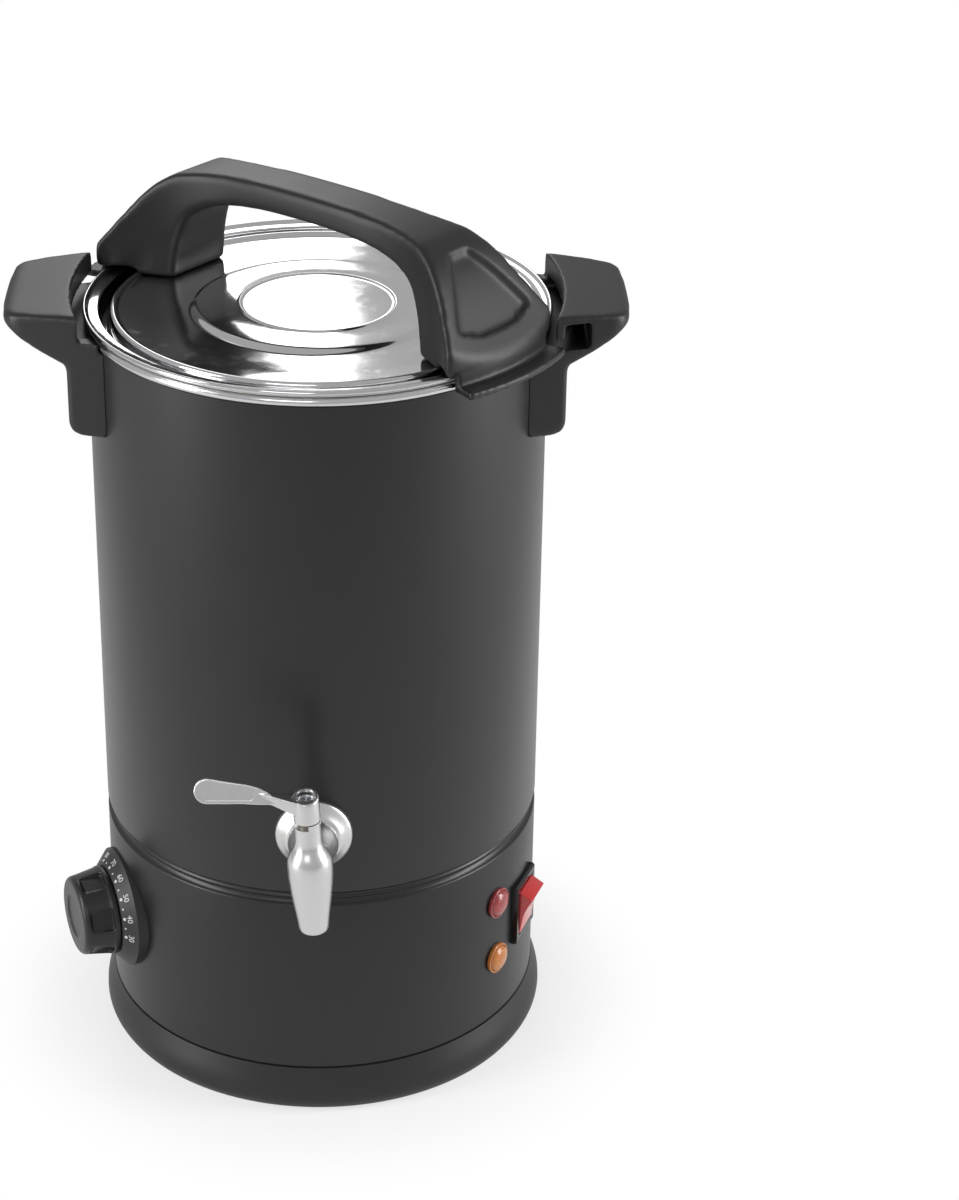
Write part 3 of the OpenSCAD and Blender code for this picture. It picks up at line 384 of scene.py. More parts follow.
def curve(a, b, c, d, steps=8):
    """Points of a curve from a to d that leaves towards b and arrives from c."""
    points = []
    for i in range(steps + 1):
        t = i / steps
        u = 1 - t
        points.append(tuple(u ** 3 * p + 3 * u * u * t * q + 3 * u * t * t * r + t ** 3 * s
                            for p, q, r, s in zip(a, b, c, d)))
    return points


# %% [markdown]
# ## Selecting and placing
# An operator acts on all that is selected, so a piece is always selected on its own first. Its
# place is baked into its mesh at once, because the finishes read the object's coordinates.

# %% Selecting and settling
def only(*pieces):
    """Selects these pieces and nothing else. The last one becomes active."""
    bpy.ops.object.select_all(action="DESELECT")
    for piece in pieces:
        piece.select_set(True)
        bpy.context.view_layer.objects.active = piece


def settle(piece, place):
    """Moves a piece to its place and bakes that into its mesh."""
    piece.matrix_world = place
    only(piece)
    bpy.ops.object.transform_apply(location=True, rotation=True, scale=True)
    return piece


def copy_of(piece, name, place):
    """A copy with its own mesh, at another place."""
    only(piece)
    bpy.ops.object.duplicate()
    twin = bpy.context.object
    twin.name = name
    return settle(twin, place)


def smooth_below(piece, angle):
    """Shades a piece smooth, apart from edges that are sharper than angle."""
    only(piece)
    bpy.ops.object.shade_smooth_by_angle(angle=math.radians(angle))


# %% [markdown]
# ## Prisms and lathe pieces
# A prism is an outline that is pushed along a path, which suits mouldings. A lathe piece is an
# outline that is spun round an axis, which suits pressed and turned pieces. Both start as a
# circle whose corners are dragged onto the outline.

# %% Prisms
def ring_of(name, points, fill):
    """A disc or ring with one corner for each point, whose corners are dragged there."""
    bpy.ops.object.select_all(action="DESELECT")
    bpy.ops.mesh.primitive_circle_add(vertices=len(points), radius=0.01, fill_type=fill)
    piece = bpy.context.object
    piece.name = name
    for corner, point in zip(piece.data.vertices, points):
        corner.co = Vector(point) * mm
    return piece


def prism(name, points, path):
    """An outline pushed along a path, closed at both ends."""
    piece = ring_of(name, points, "NGON")
    bpy.ops.object.mode_set(mode="EDIT")
    bpy.ops.mesh.select_all(action="SELECT")
    bpy.ops.mesh.extrude_region_move(TRANSFORM_OT_translate={"value": tuple(Vector(path) * mm)})
    bpy.ops.mesh.select_all(action="SELECT")
    bpy.ops.mesh.normals_make_consistent(inside=False)
    bpy.ops.object.mode_set(mode="OBJECT")
    return piece


def upright(name, plan, low, high):
    """A plan of (x, y), pushed up from one height to another."""
    return prism(name, [(x, y, low) for x, y in plan], (0, 0, high - low))


def across(name, side_view, half_width):
    """A side view of (x, z), pushed across from one side to the other."""
    return prism(name, [(x, -half_width, z) for x, z in side_view], (0, 2 * half_width, 0))


def box(name, low, high):
    """A block between two corners."""
    plan = [(low[0], low[1]), (high[0], low[1]), (high[0], high[1]), (low[0], high[1])]
    return upright(name, plan, low[2], high[2])


def cylinder(name, radius, low, high, at=(0, 0), corners=160):
    """A round tool from one height to another."""
    return upright(name, arc(at, radius, 0, 360 - 360 / corners, corners - 1), low, high)


# %% Lathe pieces
def lathe(name, profile, steps):
    """A closed outline of (radius, height), spun round Z."""
    piece = ring_of(name, [(r, 0, z) for r, z in profile], "NOTHING")
    bpy.ops.object.mode_set(mode="EDIT")
    bpy.ops.mesh.select_all(action="SELECT")
    bpy.ops.mesh.spin(steps=steps, angle=2 * math.pi, center=(0, 0, 0), axis=(0, 0, 1))
    bpy.ops.mesh.select_all(action="SELECT")
    bpy.ops.mesh.remove_doubles(threshold=0.005 * mm)
    bpy.ops.mesh.normals_make_consistent(inside=False)
    bpy.ops.object.mode_set(mode="OBJECT")
    smooth_below(piece, 40)
    return piece


# %% [markdown]
# ## Cutting and softening
# A cut uses one form as a tool on another. A bevel can't follow the many short edges that a cut
# leaves, so the edges of a moulding are rounded in another way: the piece gets an even skin of
# small squares, and smoothing that skin rounds every edge by about the same amount.

# %% Modifiers that are applied
def change(piece, kind, **settings):
    """Adds a modifier and applies it."""
    modifier = piece.modifiers.new(kind, kind)
    for key, value in settings.items():
        setattr(modifier, key, value)
    only(piece)
    bpy.ops.object.modifier_apply(modifier=modifier.name)


def cut(piece, tool, how="DIFFERENCE"):
    """Cuts a piece with a tool, joins them, or keeps what they share. The tool is used up."""
    change(piece, "BOOLEAN", object=tool, operation=how, solver="EXACT")
    bpy.data.objects.remove(tool)


def soften(piece, grid, rounds):
    """Gives a piece an even skin of small squares, and rounds its edges by smoothing."""
    change(piece, "REMESH", mode="VOXEL", voxel_size=grid * mm, use_smooth_shade=True)
    change(piece, "SMOOTH", factor=0.5, iterations=rounds)


# %% [markdown]
# ## Handing a piece over
# A finished piece gets its finish and rides one of the moving bodies. The nodes that it stands
# for are hidden, so that nothing is there twice.

# %% Handing a piece over
def hand_over(piece, body, finish, slot, *hidden):
    """Gives a piece its finish and its body, and hides the nodes it stands for. Its slot is not used."""
    piece.data.materials.clear()
    piece.data.materials.append(finish)
    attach(piece, body)
    if hidden:
        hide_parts(*hidden)
    size = [round(v / mm, 1) for v in piece.dimensions]
    print(piece.name, len(piece.data.polygons), "faces, size mm", size)


# %% [markdown]
# ## Main sizes
# The same named sizes as in the construction, in millimetres. Directions are degrees round the
# pot, with the front at -90. A piece on the wall is drawn as if the wall were at +X, and its
# frame then turns it to its place, so that no piece has to be drawn at an angle.

# %% Sizes and frames
body_r = 113.0
seam_z = 26.2
panel_z = 78.8
rim_z = 399.5
flange_z = rim_z + 1.6
disc_z = rim_z + 0.4
outward = Matrix.Rotation(math.radians(90), 4, "Y")


def wall(az, height):
    """The frame of a piece on the wall: its X goes outwards, its Z goes up."""
    return Matrix.Rotation(math.radians(az), 4, "Z") @ Matrix.Translation((0, 0, height * mm))


print("pot", 2 * body_r, "mm across, rim at", rim_z, "mm, controls at", panel_z, "mm")

# %% [markdown]
# ## The shell
# The shell is one rolled sheet with a groove pressed round it, which stiffens it above the
# controls. The press leaves soft shoulders and a low bead in the middle. A bump would give no
# shadow there, so half of the groove is drawn with curves and mirrored, and the whole wall is
# spun in one go. Openings are cut for the switch and the inlet.

# %% Shell
groove_z = 127.9
groove_r = body_r - 2.4
sheet = 1.0
inlet_az = 90.0
switch_az = -21.7
inlet_opening = (28.2, 20.2)
switch_opening = (25.6, 29.2)

half_groove = (
    curve((body_r, -4.4), (body_r, -3.6), (groove_r + 0.6, -3.6), (groove_r, -1.6))
    + curve((groove_r, -1.6), (groove_r - 0.1, -0.6), (groove_r + 0.5, -0.8), (groove_r + 0.5, 0)))
groove = half_groove + [(r, -z) for r, z in reversed(half_groove)]
shell_outline = (
    [(body_r, seam_z)] + [(r, groove_z + z) for r, z in groove]
    + [(body_r, rim_z - 4.5), (body_r - sheet, rim_z - 4.5), (body_r - sheet, groove_z + 7),
       (groove_r - sheet, groove_z + 4), (groove_r - sheet, groove_z - 4),
       (body_r - sheet, groove_z - 7), (body_r - sheet, seam_z)])
shell = lathe("shell_wall", shell_outline, 256)
for az, (wide, high) in ((inlet_az, inlet_opening), (switch_az, switch_opening)):
    opening = box("opening", (100, -wide / 2, -high / 2), (130, wide / 2, high / 2))
    cut(shell, settle(opening, wall(az, panel_z)))
smooth_below(shell, 40)
hand_over(shell, "pot", shell_coat, "shell_black", "outer_shell")

# %% [markdown]
# ## The base ring
# The moulded base swells out below the shell like a plinth. A narrow dark seam with a thin
# rounded lip separates the two. It is the same all round, so it is spun from one outline, with
# the hollow inside drawn too, so that its wall is as thin as a moulding's.

# %% Base ring
base_r = 117.6
ledge_r = 100.5
hollow_r = 110.4
base_outline = (
    [(base_r - 5.3, 1.5), (base_r - 3.3, 1.5)]
    + curve((base_r - 2.8, 1.7), (base_r - 1.0, 4), (base_r, 6), (base_r, 9))
    + curve((base_r, 9.6), (base_r, 15), (body_r + 1.8, 20), (body_r + 0.5, seam_z - 1.8))[1:]
    + [(body_r + 0.3, seam_z - 1.3), (body_r - 0.1, seam_z - 1.1), (body_r - 0.9, seam_z - 1.1),
       (body_r - 0.9, seam_z - 0.05), (ledge_r, seam_z - 0.05), (ledge_r, seam_z - 3.2),
       (hollow_r, seam_z - 3.2)]
    + curve((hollow_r, seam_z - 3.6), (hollow_r, 18), (base_r - 2.6, 14), (base_r - 2.6, 8)))
base = lathe("base_moulding", base_outline, 256)
hand_over(base, "pot", base_plastic, "base_plastic", "base_ring")

# %% [markdown]
# ## The side handles
# Each handle is one moulding: a skirt on the shell, and above it a hook that the lid's lug turns
# in under. It could be pulled out of a cube face by face, but two outlines keep it true to both
# views: the block is what the plan and the side view have in common. Its edges are rounded first.
# The seat on the shell, the slot and the lip are cut afterwards, so that they stay crisper. The
# left handle is a copy, turned by half a turn.

# %% Outlines of a side handle
root_x = 93.0
skirt_z = 350.3
skirt_x = 120.1
reach = 152.0
half_wide = 46.5
taper = 15.6
corner_r = 11.0
front_r = 259.0
front_turn = 6.3
taper_run = math.tan(math.radians(taper))
corner_x = reach - 12.5
corner_y = half_wide - (corner_x - body_r) * taper_run - corner_r / math.cos(math.radians(taper))
root_half = half_wide + 20 * taper_run
handle_plan = (
    [(root_x, -root_half)] + arc((corner_x, -corner_y), corner_r, taper - 90, -front_turn)
    + arc((reach - front_r, 0), front_r, -front_turn, front_turn)
    + arc((corner_x, corner_y), corner_r, front_turn, 90 - taper) + [(root_x, root_half)])
handle_side = (
    [(root_x, skirt_z)] + arc((skirt_x - 6, skirt_z + 6), 6, -90, 0) + [(skirt_x, rim_z - 13.5)]
    + curve((skirt_x + 1.4, rim_z - 12.9), (skirt_x + 10, rim_z - 9.5),
            (reach - 11, rim_z - 3.5), (reach - 6, rim_z + 1))
    + curve((reach - 5, rim_z + 1.9), (reach - 2, rim_z + 3.4), (reach, rim_z + 4), (reach, rim_z + 6))
    + curve((reach, rim_z + 7), (reach, rim_z + 9), (reach - 1.6, rim_z + 10.2), (reach - 4.6, rim_z + 10.4))
    + [(120, rim_z + 12), (root_x, rim_z + 12)])
print("handle outlines:", len(handle_plan), "and", len(handle_side), "corners")

# %% Block of a side handle
handle = upright("handle_right_moulding", handle_plan, 340, 420)
cut(handle, across("side view", handle_side, 60), "INTERSECT")
soften(handle, 1.2, 20)
print("handle block:", len(handle.data.polygons), "faces")

# %% Seat, slot and lip of a side handle
slot_low = rim_z - 5
slot_roof = rim_z + 8
slot_x = 131.0
slot_end = 39.0
lip_z = rim_z + 0.3
lip_centre = (-51, 0)
lip_inner = 171
lip_outer = 175
cut(handle, cylinder("shell seat", body_r + 0.05, 330, 430))
cut(handle, cylinder("rim seat", 114.6, slot_low, 430))
cut(handle, cylinder("lip edge", lip_inner, lip_z - 1, 430, lip_centre, 240))
slot_tool = box("slot", (root_x, -60, slot_low), (slot_x, slot_end, slot_roof))
cut(slot_tool, cylinder("lip wall", lip_outer, lip_z, 430, lip_centre, 240))
cut(handle, slot_tool)
soften(handle, 0.9, 2)
left_handle = copy_of(handle, "handle_left_moulding", Matrix.Rotation(math.pi, 4, "Z"))
hand_over(handle, "pot", handle_plastic, "handle_plastic", "handle_right")
hand_over(left_handle, "pot", handle_plastic, "handle_plastic", "handle_left")

# %% [markdown]
# ## The lid
# The lid is pressed from one sheet: a rolled edge, a flat flange, a groove that drops into the
# rim, a raised bead, a wide flat disc and a raised middle with a thin ring. It is spun from an
# outline whose bends are curves, because polished steel shows every kink. At rest it lies
# unlocked, turned back from where its lugs sit under the hooks.

# %% Lid
unlock_turn = 40
plug_z = rim_z - 8.0
lid_place = Matrix.Rotation(math.radians(-unlock_turn), 4, "Z")
lid_top = (
    [(0, disc_z + 2), (20, disc_z + 2), (36, disc_z + 2)]
    + curve((37, disc_z + 2), (37.6, disc_z + 2), (37.6, disc_z + 2.8), (38.4, disc_z + 2.8), 5)
    + curve((38.5, disc_z + 2.8), (39.2, disc_z + 2.8), (39.2, disc_z + 2), (40, disc_z + 2), 5)
    + [(48, disc_z + 2)]
    + curve((57, disc_z + 2), (61, disc_z + 2), (60.5, disc_z), (64.5, disc_z), 12)
    + [(72, disc_z), (84, disc_z)]
    + curve((96.5, disc_z), (98.4, disc_z), (97.8, disc_z + 2), (99.6, disc_z + 2), 8)
    + curve((99.7, disc_z + 2), (101.8, disc_z + 2), (101.4, disc_z), (101.9, disc_z - 1.4), 7)
    + curve((102.3, plug_z + 2.4), (102.6, plug_z + 0.8), (103, plug_z + 0.8), (103.8, plug_z + 0.8), 6)
    + curve((105, plug_z + 0.8), (106.2, plug_z + 0.8), (106.3, plug_z + 1.4), (106.4, plug_z + 3), 6)
    + curve((106.6, flange_z - 1.0), (106.7, flange_z + 0.6), (107, flange_z + 0.8), (108, flange_z + 0.8), 6)
    + curve((112, flange_z + 0.8), (112.6, flange_z + 0.8),
            (112.8, flange_z + 2.3), (113.8, flange_z + 2.4), 5)
    + arc((113.8, flange_z + 1.2), 1.2, 80, -90, 8))
lid_under = [(107, flange_z), (105.8, plug_z), (103, plug_z), (100.6, disc_z + 0.4), (97, disc_z - 0.8),
             (64, disc_z - 0.8), (57.6, disc_z + 1.2), (0, disc_z + 1.2)]
lid = settle(lathe("lid_pressing", lid_top + lid_under, 256), lid_place)
hand_over(lid, "lid", lid_steel, "polished_steel", "lid_pan")

# %% [markdown]
# ## The lid handle
# A bridge joins two fan-shaped ends. Each fan has a sunk sloping panel with a raised band round
# it, and carries a thin lug below its outer edge. The bridge is what the plan and the side view
# have in common, as with the side handles. Only a quarter of the plan and half of the side view
# are drawn, and the rest is mirrored.

# %% Outlines of the lid handle
fan_r = 119.5
fan_half = 20
grip_half = 14.0
grip_top = flange_z + 59.8
foot_z = flange_z + 2.6
fan_corner = (fan_r * math.cos(math.radians(fan_half)), fan_r * math.sin(math.radians(fan_half)))
flare = curve((42, grip_half), (76, grip_half), (96, grip_half + 12), fan_corner, 14)
one_end = (flare + arc((0, 0), fan_r, fan_half, -fan_half, 16)[1:-1]
           + [(x, -y) for x, y in reversed(flare)])
bridge_plan = one_end + [(-x, -y) for x, y in one_end]
fan_slope = curve((fan_r - 3, foot_z + 8), (108, foot_z + 18), (98, grip_top - 20), (86, grip_top - 11), 10)
grip_line = curve((78, grip_top - 6), (60, grip_top - 1.5), (30, grip_top), (0, grip_top), 12)
half_top = [(fan_r, foot_z + 4)] + fan_slope + grip_line
half_under = (
    curve((0, grip_top - 14), (34, grip_top - 14), (64, grip_top - 17), (72, grip_top - 30), 12)
    + curve((75, grip_top - 38), (78, disc_z + 12), (79, disc_z + 5), (78, disc_z + 0.05), 6)
    + [(97, disc_z + 0.05), (97.3, foot_z), (fan_r, foot_z)])
bridge_side = (half_top + [(-x, z) for x, z in reversed(half_top[:-1])]
               + [(-x, z) for x, z in reversed(half_under[1:])] + half_under)
print("lid handle outlines:", len(bridge_plan), "and", len(bridge_side), "corners")

# %% Block of the lid handle
bridge = upright("lid_handle_moulding", bridge_plan, 380, 480)
cut(bridge, across("side view", bridge_side, 60), "INTERSECT")
soften(bridge, 1.3, 24)
print("bridge block:", len(bridge.data.polygons), "faces")

# %% [markdown]
# The panels are sunk into the softened block with a tool that follows the slope of the fan a
# little lower down. The tool is softened too, so that the band round a panel gets a soft inner
# edge. The lugs are thin plates that follow the rim, each with a web that joins it to the fan.

# %% Panels of the lid handle
panel_plan = arc((0, 0), fan_r - 7.5, 14.2, -14.2, 12) + [(89, -9), (86, -7), (86, 7), (89, 9)]
panel_low = [(x - 1.2, z - 2.6) for x, z in fan_slope] + [(78, grip_top - 10.5)]
panel_side = panel_low + [(80, grip_top + 20), (130, grip_top + 20), (130, foot_z + 6)]
for end in (1, -1):
    panel = upright("panel", [(end * x, y) for x, y in panel_plan], 380, 480)
    cut(panel, across("above", [(end * x, z) for x, z in panel_side], 60), "INTERSECT")
    soften(panel, 1.2, 6)
    cut(bridge, panel)
soften(bridge, 1.1, 6)
print("bridge with panels:", len(bridge.data.polygons), "faces")

# %% Lugs of the lid handle
lug_half = 16.5
lug_root = 115.3


def fan_plate(name, outer_r, middle, low, high):
    """A plate that follows the rim, round the direction middle."""
    plan = (arc((0, 0), outer_r, middle - lug_half, middle + lug_half, 16)
            + arc((0, 0), lug_root, middle + lug_half, middle - lug_half, 16))
    return upright(name, plan, low, high)


for middle in (0, -180):
    cut(bridge, fan_plate("lug", 129.0, middle, rim_z - 3.7, rim_z - 0.3), "UNION")
    cut(bridge, fan_plate("web", fan_r - 0.3, middle, rim_z - 2, rim_z + 7), "UNION")
soften(bridge, 1.0, 1)
settle(bridge, lid_place)
hand_over(bridge, "lid", handle_plastic, "handle_plastic", "lid_handle")

# %% [markdown]
# ## The tap
# The tap's body is turned: an upright barrel that swells like a vase, and a bell-shaped shank
# behind it that clamps a domed washer on the shell. So two lathe pieces are joined. They keep
# the lathe's own faces, because a skin of squares would make a shiny turned surface blotchy. A
# quarter of the neck's top is cut away, where a stop on the lever turns.

# %% Tap body
tap_az = -91.5
tap_z = 166.7
tap_reach = 41.0
tap_lean = 2.6
tap_frame = wall(tap_az, tap_z) @ Matrix.Rotation(math.radians(tap_lean), 4, "X")
barrel_frame = tap_frame @ Matrix.Translation(((body_r + tap_reach) * mm, 0, 0))
nozzle_z = -29.3
neck_z = 32.5
notch_deep = 2.6
barrel_outline = (
    [(3.5, nozzle_z), (4.8, nozzle_z)] + arc((4.8, nozzle_z + 2.6), 2.6, -90, -20, 6)
    + curve((7.5, nozzle_z + 4), (8.3, -18), (10.6, -6), (11, 5), 12)
    + curve((11, 7), (11, 15), (7.6, 16), (6.7, 20), 12)
    + [(6.4, 22), (6.3, neck_z), (3, neck_z), (3, -16), (3.5, -16)])
shank_outline = (
    [(0, 117.6), (10.4, 117.6), (10.4, 122), (12.6, 122)]
    + curve((12.6, 122.6), (12.4, 127), (10.4, 129), (9.6, 139), 10) + [(9.4, 152), (0, 152)])
tap = settle(lathe("tap_body_casting", barrel_outline, 96), barrel_frame)
cut(tap, settle(lathe("shank", shank_outline, 96), tap_frame @ outward), "UNION")
notch = box("stop notch", (0, -9, neck_z - notch_deep), (9, 0.8, neck_z + 1.4))
cut(tap, settle(notch, barrel_frame))
smooth_below(tap, 35)
hand_over(tap, "pot", tap_steel, "tap_steel", "tap_body")

# %% [markdown]
# ## The tap's washer
# The washer is a pressed dome with a flat edge, hollow behind. It sits on a round wall, so it is
# spun a little too deep, and the shell's cylinder cuts its back to the curve of the wall.

# %% Washer
washer_outline = (
    [(8.1, 114.2), (8.1, 117.5), (10.9, 117.5), (11.8, 121), (13.2, 120.6)]
    + curve((14.2, 119.6), (16.2, 117.2), (18, 116.2), (18.9, 115), 8)
    + [(19.1, 114), (19.1, 110.6), (17.6, 111), (12.5, 112.8), (12.5, 114.2)])
washer = settle(lathe("tap_washer_pressing", washer_outline, 96), wall(tap_az, tap_z) @ outward)
cut(washer, cylinder("shell side", body_r + 0.05, tap_z - 40, tap_z + 40, corners=256))
smooth_below(washer, 35)
hand_over(washer, "pot", tap_steel, "tap_steel", "tap_washer")

# %% [markdown]
# ## The tap's lever
# The lever is a casting: a round hub whose top is cut at a slant, a short neck, and a flat paddle
# that stands almost on edge, with a sunk panel. A twisted neck is hard to draw in one outline. A
# paddle whose root runs into a plain neck gives the same twist once the joint is softened. The
# panel and the screw's recess are cut last, so that their rims stay bright.

# %% Hub and neck of the lever
hub_low = neck_z + 0.3
hub_top = neck_z + 14.9
slant_turn = -14
hub_outline = [(0, hub_low), (6.6, hub_low), (6.5, hub_low + 6), (6.0, hub_top + 1), (0, hub_top + 1)]
neck_plan = (curve((0, -5), (8, -5), (11, -1.6), (24, -0.8), 8)
             + curve((24, 1.6), (12, 2.6), (8, 5), (0, 5), 8))
neck_side = (
    curve((0, hub_low + 4.2), (7, hub_low + 4.2), (12, hub_top - 5.6), (22, hub_top - 2.4), 10)
    + curve((22, hub_top + 1.2), (15, hub_top + 1.0), (9, hub_top - 2.2), (0, hub_top - 3), 10))
slant_frame = (Matrix.Translation((0, -6.3 * mm, hub_top * mm))
               @ Matrix.Rotation(math.radians(slant_turn), 4, "X"))
lever = lathe("tap_lever_casting", hub_outline, 64)
cut(lever, settle(box("slant", (-10, -5, 0), (10, 19, 9)), slant_frame))
neck = upright("neck", neck_plan, 20, 60)
cut(neck, across("neck side", neck_side, 10), "INTERSECT")
cut(lever, neck, "UNION")
print("hub and neck:", len(lever.data.polygons), "faces")

# %% Paddle of the lever
paddle_rise = -7.1
paddle_turn = -70
paddle_half = 1.8
paddle_frame = (Matrix.Translation((0, 0, (hub_top - 2.6) * mm))
                @ Matrix.Rotation(math.radians(paddle_rise), 4, "Y")
                @ Matrix.Rotation(math.radians(paddle_turn), 4, "X"))
paddle_plan = (
    curve((11, 2), (16, 0), (20, -4.2), (29, -4.8), 8) + arc((46.8, 0), 6.2, -90, 90, 14)
    + curve((29, 4.8), (23, 4.8), (16, 4.4), (11, 3.4), 8))
sunk_plan = arc((46.6, 0), 4.6, -90, 90, 14) + arc((26.8, 0), 3.1, 90, 270, 10)
cut(lever, settle(upright("paddle", paddle_plan, -paddle_half, paddle_half), paddle_frame), "UNION")
soften(lever, 0.42, 7)
cut(lever, settle(upright("sunk panel", sunk_plan, paddle_half - 0.8, 4), paddle_frame))
cut(lever, cylinder("screw recess", 4.9, hub_top - 5, hub_top + 5, corners=48))
settle(lever, barrel_frame @ Matrix.Rotation(math.radians(-90), 4, "Z"))
smooth_below(lever, 40)
hand_over(lever, "tap_valve", tap_steel, "tap_steel", "tap_lever")

# %% [markdown]
# ## The knob
# The knob turns in front of a conical plate that is printed with the temperature. It is a lathe
# piece with six finger recesses, drawn once as a rounded slot and cut six times. Its front is
# left bare, and a small white pointer shows on its flange.

# %% Knob
dial_az = -158.3
knob_back = 120.7
knob_front = knob_back + 18.5
recess_r = 1.8
knob_outline = (
    [(0, knob_back), (23.4, knob_back), (23.4, knob_back + 3), (22.9, knob_back + 3.2)]
    + curve((22.9, knob_back + 3.6), (22.2, knob_back + 8),
            (21.4, knob_front - 6), (20.9, knob_front - 2.6), 6)
    + curve((20.7, knob_front - 1.8), (20.2, knob_front - 0.4), (19, knob_front), (17.5, knob_front), 6)
    + [(11.6, knob_front), (11, knob_front - 0.8), (0, knob_front - 0.8)])
recess_plan = (
    arc((knob_back + 4.6, -4), recess_r, 180, 270, 5) + arc((knob_back + 13.2, -4), recess_r, 270, 360, 5)
    + arc((knob_back + 13.2, 4), recess_r, 0, 90, 5) + arc((knob_back + 4.6, 4), recess_r, 90, 180, 5))
knob = lathe("dial_knob_moulding", knob_outline, 96)
for step in range(6):
    recess = prism("recess", [(20, y, height) for height, y in recess_plan], (8, 0, 0))
    cut(knob, settle(recess, Matrix.Rotation(math.radians(60 * step + 48), 4, "Z")))
soften(knob, 0.5, 5)
pointer = box("pointer", (22.6, -0.8, knob_back + 3), (23.7, 0.8, knob_back + 9))
settle(knob, wall(dial_az, panel_z) @ outward)
settle(pointer, wall(dial_az, panel_z) @ outward)
hand_over(knob, "dial", knob_plastic, "knob_plastic", "dial_knob")
hand_over(pointer, "dial", print_white, "knob_plastic")

# %% [markdown]
# ## The dial's print
# Numbers from 30 to 110 stand round the plate, with a large dot at each and a small dot between
# two. They could be painted on with a picture, but text and small discs stay sharp at any size.
# They are made meshes, laid on the cone by a frame for each angle, and joined as one print.

# %% Frames on the dial's cone
cone_low_r = 31.4
cone_low = 114.2
cone_high_r = 24.7
cone_high = 120.4
cone_run = cone_low_r - cone_high_r
cone_rise = cone_high - cone_low
cone_tilt = math.atan2(cone_rise, cone_run)


def on_cone(angle, radius):
    """A frame on the cone: X runs clockwise, Y outwards down the cone, Z off the face."""
    height = cone_high - (radius - cone_high_r) / cone_run * cone_rise + 0.06
    round_x = math.cos(math.radians(angle))
    round_y = math.sin(math.radians(angle))
    spot = Matrix.Translation(Vector((height, radius * round_x, radius * round_y)) * mm)
    off = Vector((math.cos(cone_tilt), math.sin(cone_tilt) * round_x, math.sin(cone_tilt) * round_y))
    clockwise = Vector((0, round_y, -round_x))
    turned = Matrix((clockwise, off.cross(clockwise), off)).transposed().to_4x4()
    return wall(dial_az, panel_z) @ spot @ turned


print("cone slopes by", round(math.degrees(cone_tilt), 1), "degrees")

# %% Numbers and dots
first_mark = -5.2
mark_step = 23.05
print_half = 0.03
marks = []
for step in range(9):
    bpy.ops.object.select_all(action="DESELECT")
    bpy.ops.object.text_add()
    number = bpy.context.object
    number.data.body = str(30 + 10 * step)
    number.data.size = 4.4 * mm
    number.data.align_x = "CENTER"
    number.data.align_y = "CENTER"
    number.data.extrude = print_half * mm
    bpy.ops.object.convert(target="MESH")
    marks.append(settle(bpy.context.object, on_cone(first_mark + mark_step * step, 28.2)))
for step in range(18):
    dot_r = 0.85 if step % 2 == 0 else 0.5
    dot = cylinder("dot", dot_r, -print_half, print_half, corners=24)
    marks.append(settle(dot, on_cone(first_mark + mark_step / 2 * step, 25.9)))
only(*marks)
bpy.ops.object.join()
dial_print = bpy.context.object
dial_print.name = "dial_print"
hand_over(dial_print, "pot", print_white, "bezel_plastic")

# %% [markdown]
# ## The rocker
# The rocker is a glossy red key with a hollow face. Its upper half stands out. The outline of
# its side is pushed across its width, and here a small bevel is enough to round the edges,
# because there are few of them and they are long.

# %% Rocker
key_end = 13.0
key_half = 9.7
key_axis = 112.0
key_tip = 13
rocker_side = (
    [(-4.5, 2.5 - key_end), (0.6, -key_end)]
    + curve((6.6, 1.2 - key_end), (6.0, -6), (5.7, -3), (5.8, 0), 7)
    + curve((5.9, 0.2), (6.0, 3), (6.9, 7), (8.2, key_end - 2.2), 7)
    + [(0.6, key_end), (-4.5, key_end - 2.5)])
rocker = across("rocker_key", rocker_side, key_half)
change(rocker, "BEVEL", width=0.5 * mm, segments=3, limit_method="ANGLE", angle_limit=math.radians(40))
settle(rocker, wall(switch_az, panel_z) @ Matrix.Translation((key_axis * mm, 0, 0))
       @ Matrix.Rotation(math.radians(key_tip), 4, "Y"))
smooth_below(rocker, 30)
hand_over(rocker, "rocker", rocker_red, "rocker_red", "switch_rocker")

# %% [markdown]
# ## The pilot lamps' lenses
# Each lens is a low dome inside a flat rim, with a small groove between the two that catches a
# dark line. The red one sits above the amber one. One is spun, and the other is its copy.

# %% Lenses
lamp_az = -36.5
lamp_step = 17
lens_outline = (
    [(0, 111.5), (6.0, 111.5), (6.0, 113.2), (8.3, 113.2), (8.3, 114.6), (8.0, 114.9),
     (7.5, 114.9), (7.2, 114.3)]
    + curve((7.1, 114.6), (6.6, 116.4), (4, 117.4), (0, 117.5), 10))
lens = lathe("heat_lens_moulding", lens_outline, 64)
warm_lens = copy_of(lens, "warm_lens_moulding", wall(lamp_az, panel_z - lamp_step) @ outward)
settle(lens, wall(lamp_az, panel_z + lamp_step) @ outward)
hand_over(lens, "pot", lens_red, "lens_red", "heat_lamp_lens")
hand_over(warm_lens, "pot", lens_amber, "lens_amber", "warm_lamp_lens")

# %% [markdown]
# ## Floor
# A large pale floor carries the pot and its soft shadow. More light would make it white, but
# would also wash out the pot, so away from the pot it glows plain white for the camera, as the
# backdrop of a product picture does. Near the pot it is a real surface that keeps the shadow.
# Steel sees the same glow, but weaker.

# %% Floor
bpy.ops.object.select_all(action="DESELECT")
bpy.ops.mesh.primitive_plane_add(size=24, location=(0, 0, 0))
floor = bpy.context.object
floor.name = "floor"


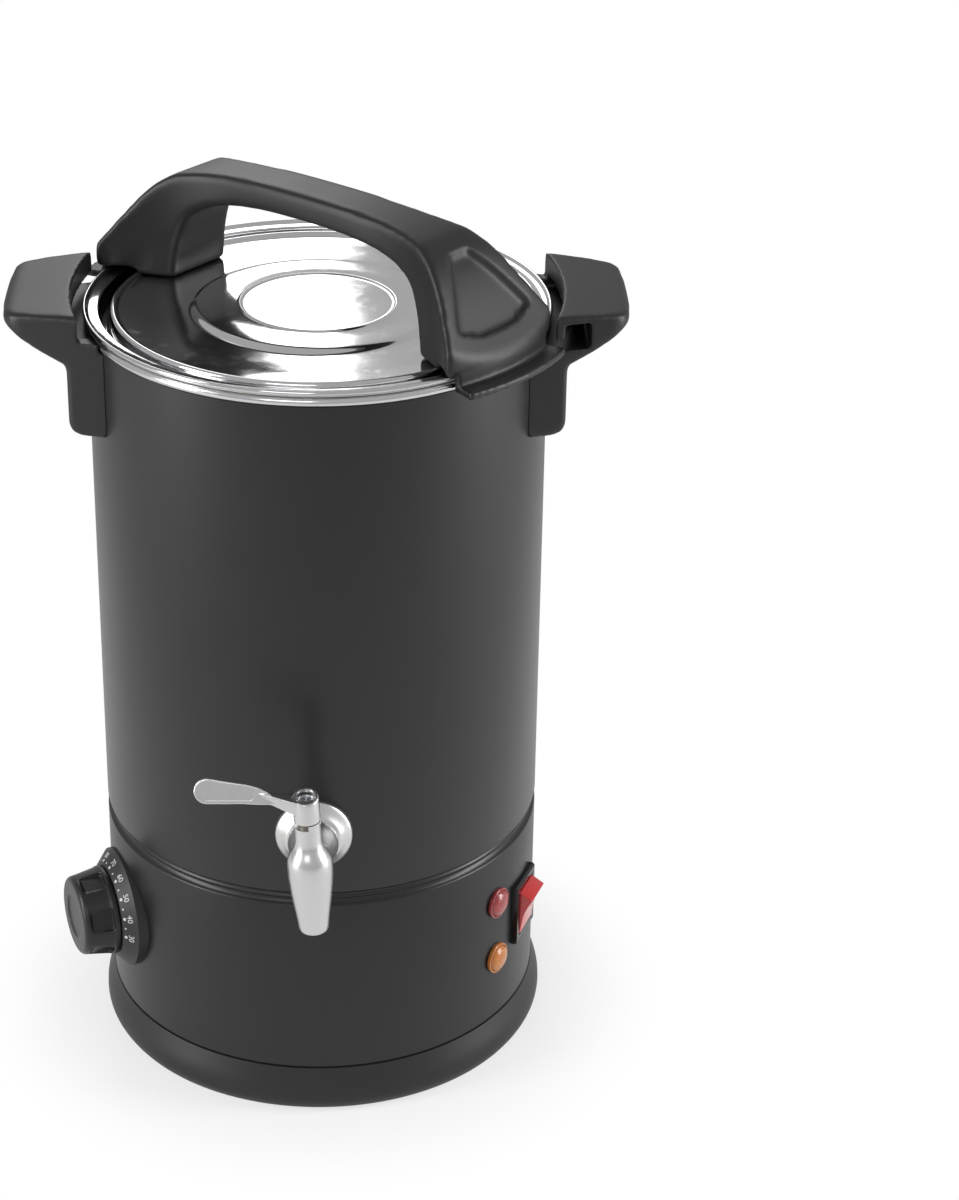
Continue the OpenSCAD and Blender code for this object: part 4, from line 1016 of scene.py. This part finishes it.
def seen_plainly(tree, mirrored):
    """1 for what the camera sees itself or through glass, and mirrored for what steel reflects."""
    camera_ray = Socket(tree, tree.nodes.new("ShaderNodeLightPath").outputs["Is Camera Ray"])
    glossy_ray = camera_ray.beside("Is Glossy Ray")
    clear_ray = camera_ray.beside("Is Transmission Ray")
    return camera_ray.math("MAXIMUM", glossy_ray * mirrored).math("MAXIMUM", clear_ray)


pale_floor, floor_shader, floor_place = start("pale floor", Roughness=0.9, Specular_IOR_Level=0.1)
floor_cloud = noise(floor_place, 0.8, 2)
plug(floor_shader, "Base Color", floor_cloud.blend((0.90, 0.90, 0.90), (0.92, 0.92, 0.92)))
distance = axis_distance(floor_place)
away = 0.68 + 0.32 * distance.over(0.11, 0.19)
shine = 0.6 - 0.45 * distance.over(0.2, 0.8)
glow = floor_place.node("ShaderNodeEmission", Color=(1, 1, 1, 1), Strength=1.0)
solid = Socket(floor_place.tree, floor_shader.outputs[0])
both = floor_place.node("ShaderNodeMixShader", in0=seen_plainly(floor_place.tree, shine) * away,
                        in1=solid, in2=glow)
floor_out = floor_place.tree.nodes["Material Output"]
floor_place.tree.links.new(both.socket, floor_out.inputs["Surface"])
floor.data.materials.append(pale_floor)
print("floor", [round(v, 1) for v in floor.dimensions], "m")

# %% [markdown]
# ## World
# The surroundings are plain white where the camera looks past the floor, and much weaker as
# light, so that the lamps shape the pot.

# %% World
world = bpy.data.worlds.new("studio")
bpy.context.scene.world = world
world.use_nodes = True
sky = world.node_tree.nodes["Background"]
sky_strength = 0.22 + 0.78 * seen_plainly(world.node_tree, 0.40)
world.node_tree.links.new(sky_strength.socket, sky.inputs["Strength"])
sky.inputs["Color"].default_value = (1, 1, 1, 1)
print("world:", world.name)

# %% [markdown]
# ## Lamps
# Tall soft lamps stand at the left and the right, because a dark round pot is drawn by the two
# long streaks that it mirrors. A weak one stands above the camera, and one behind is mirrored by
# the lid.

# %% Lamps
def soft_lamp(name, place, aim, size, power):
    """A rectangular lamp that looks at a point."""
    lamp = bpy.data.objects.new(name, bpy.data.lights.new(name, "AREA"))
    bpy.context.scene.collection.objects.link(lamp)
    lamp.data.shape = "RECTANGLE"
    lamp.data.size = size[0]
    lamp.data.size_y = size[1]
    lamp.data.energy = power
    lamp.location = place
    lamp.rotation_euler = (Vector(aim) - Vector(place)).to_track_quat("-Z", "Y").to_euler()
    print(name, power, "W")


soft_lamp("left softbox", (-1.4, -0.6, 0.7), (0, 0, 0.25), (0.5, 1.4), 18)
soft_lamp("right softbox", (1.5, -0.2, 0.7), (0, 0, 0.25), (0.5, 1.4), 20)
soft_lamp("front softbox", (-0.5, -1.9, 1.5), (0, 0, 0.2), (0.9, 0.6), 6)
soft_lamp("back softbox", (-0.2, 1.6, 1.25), (0, 0, 0.4), (0.45, 0.7), 3.5)

# %% [markdown]
# ## Closing
# The picture is shown as plain colour.

# %% Finish
bpy.context.scene.view_settings.view_transform = "Standard"
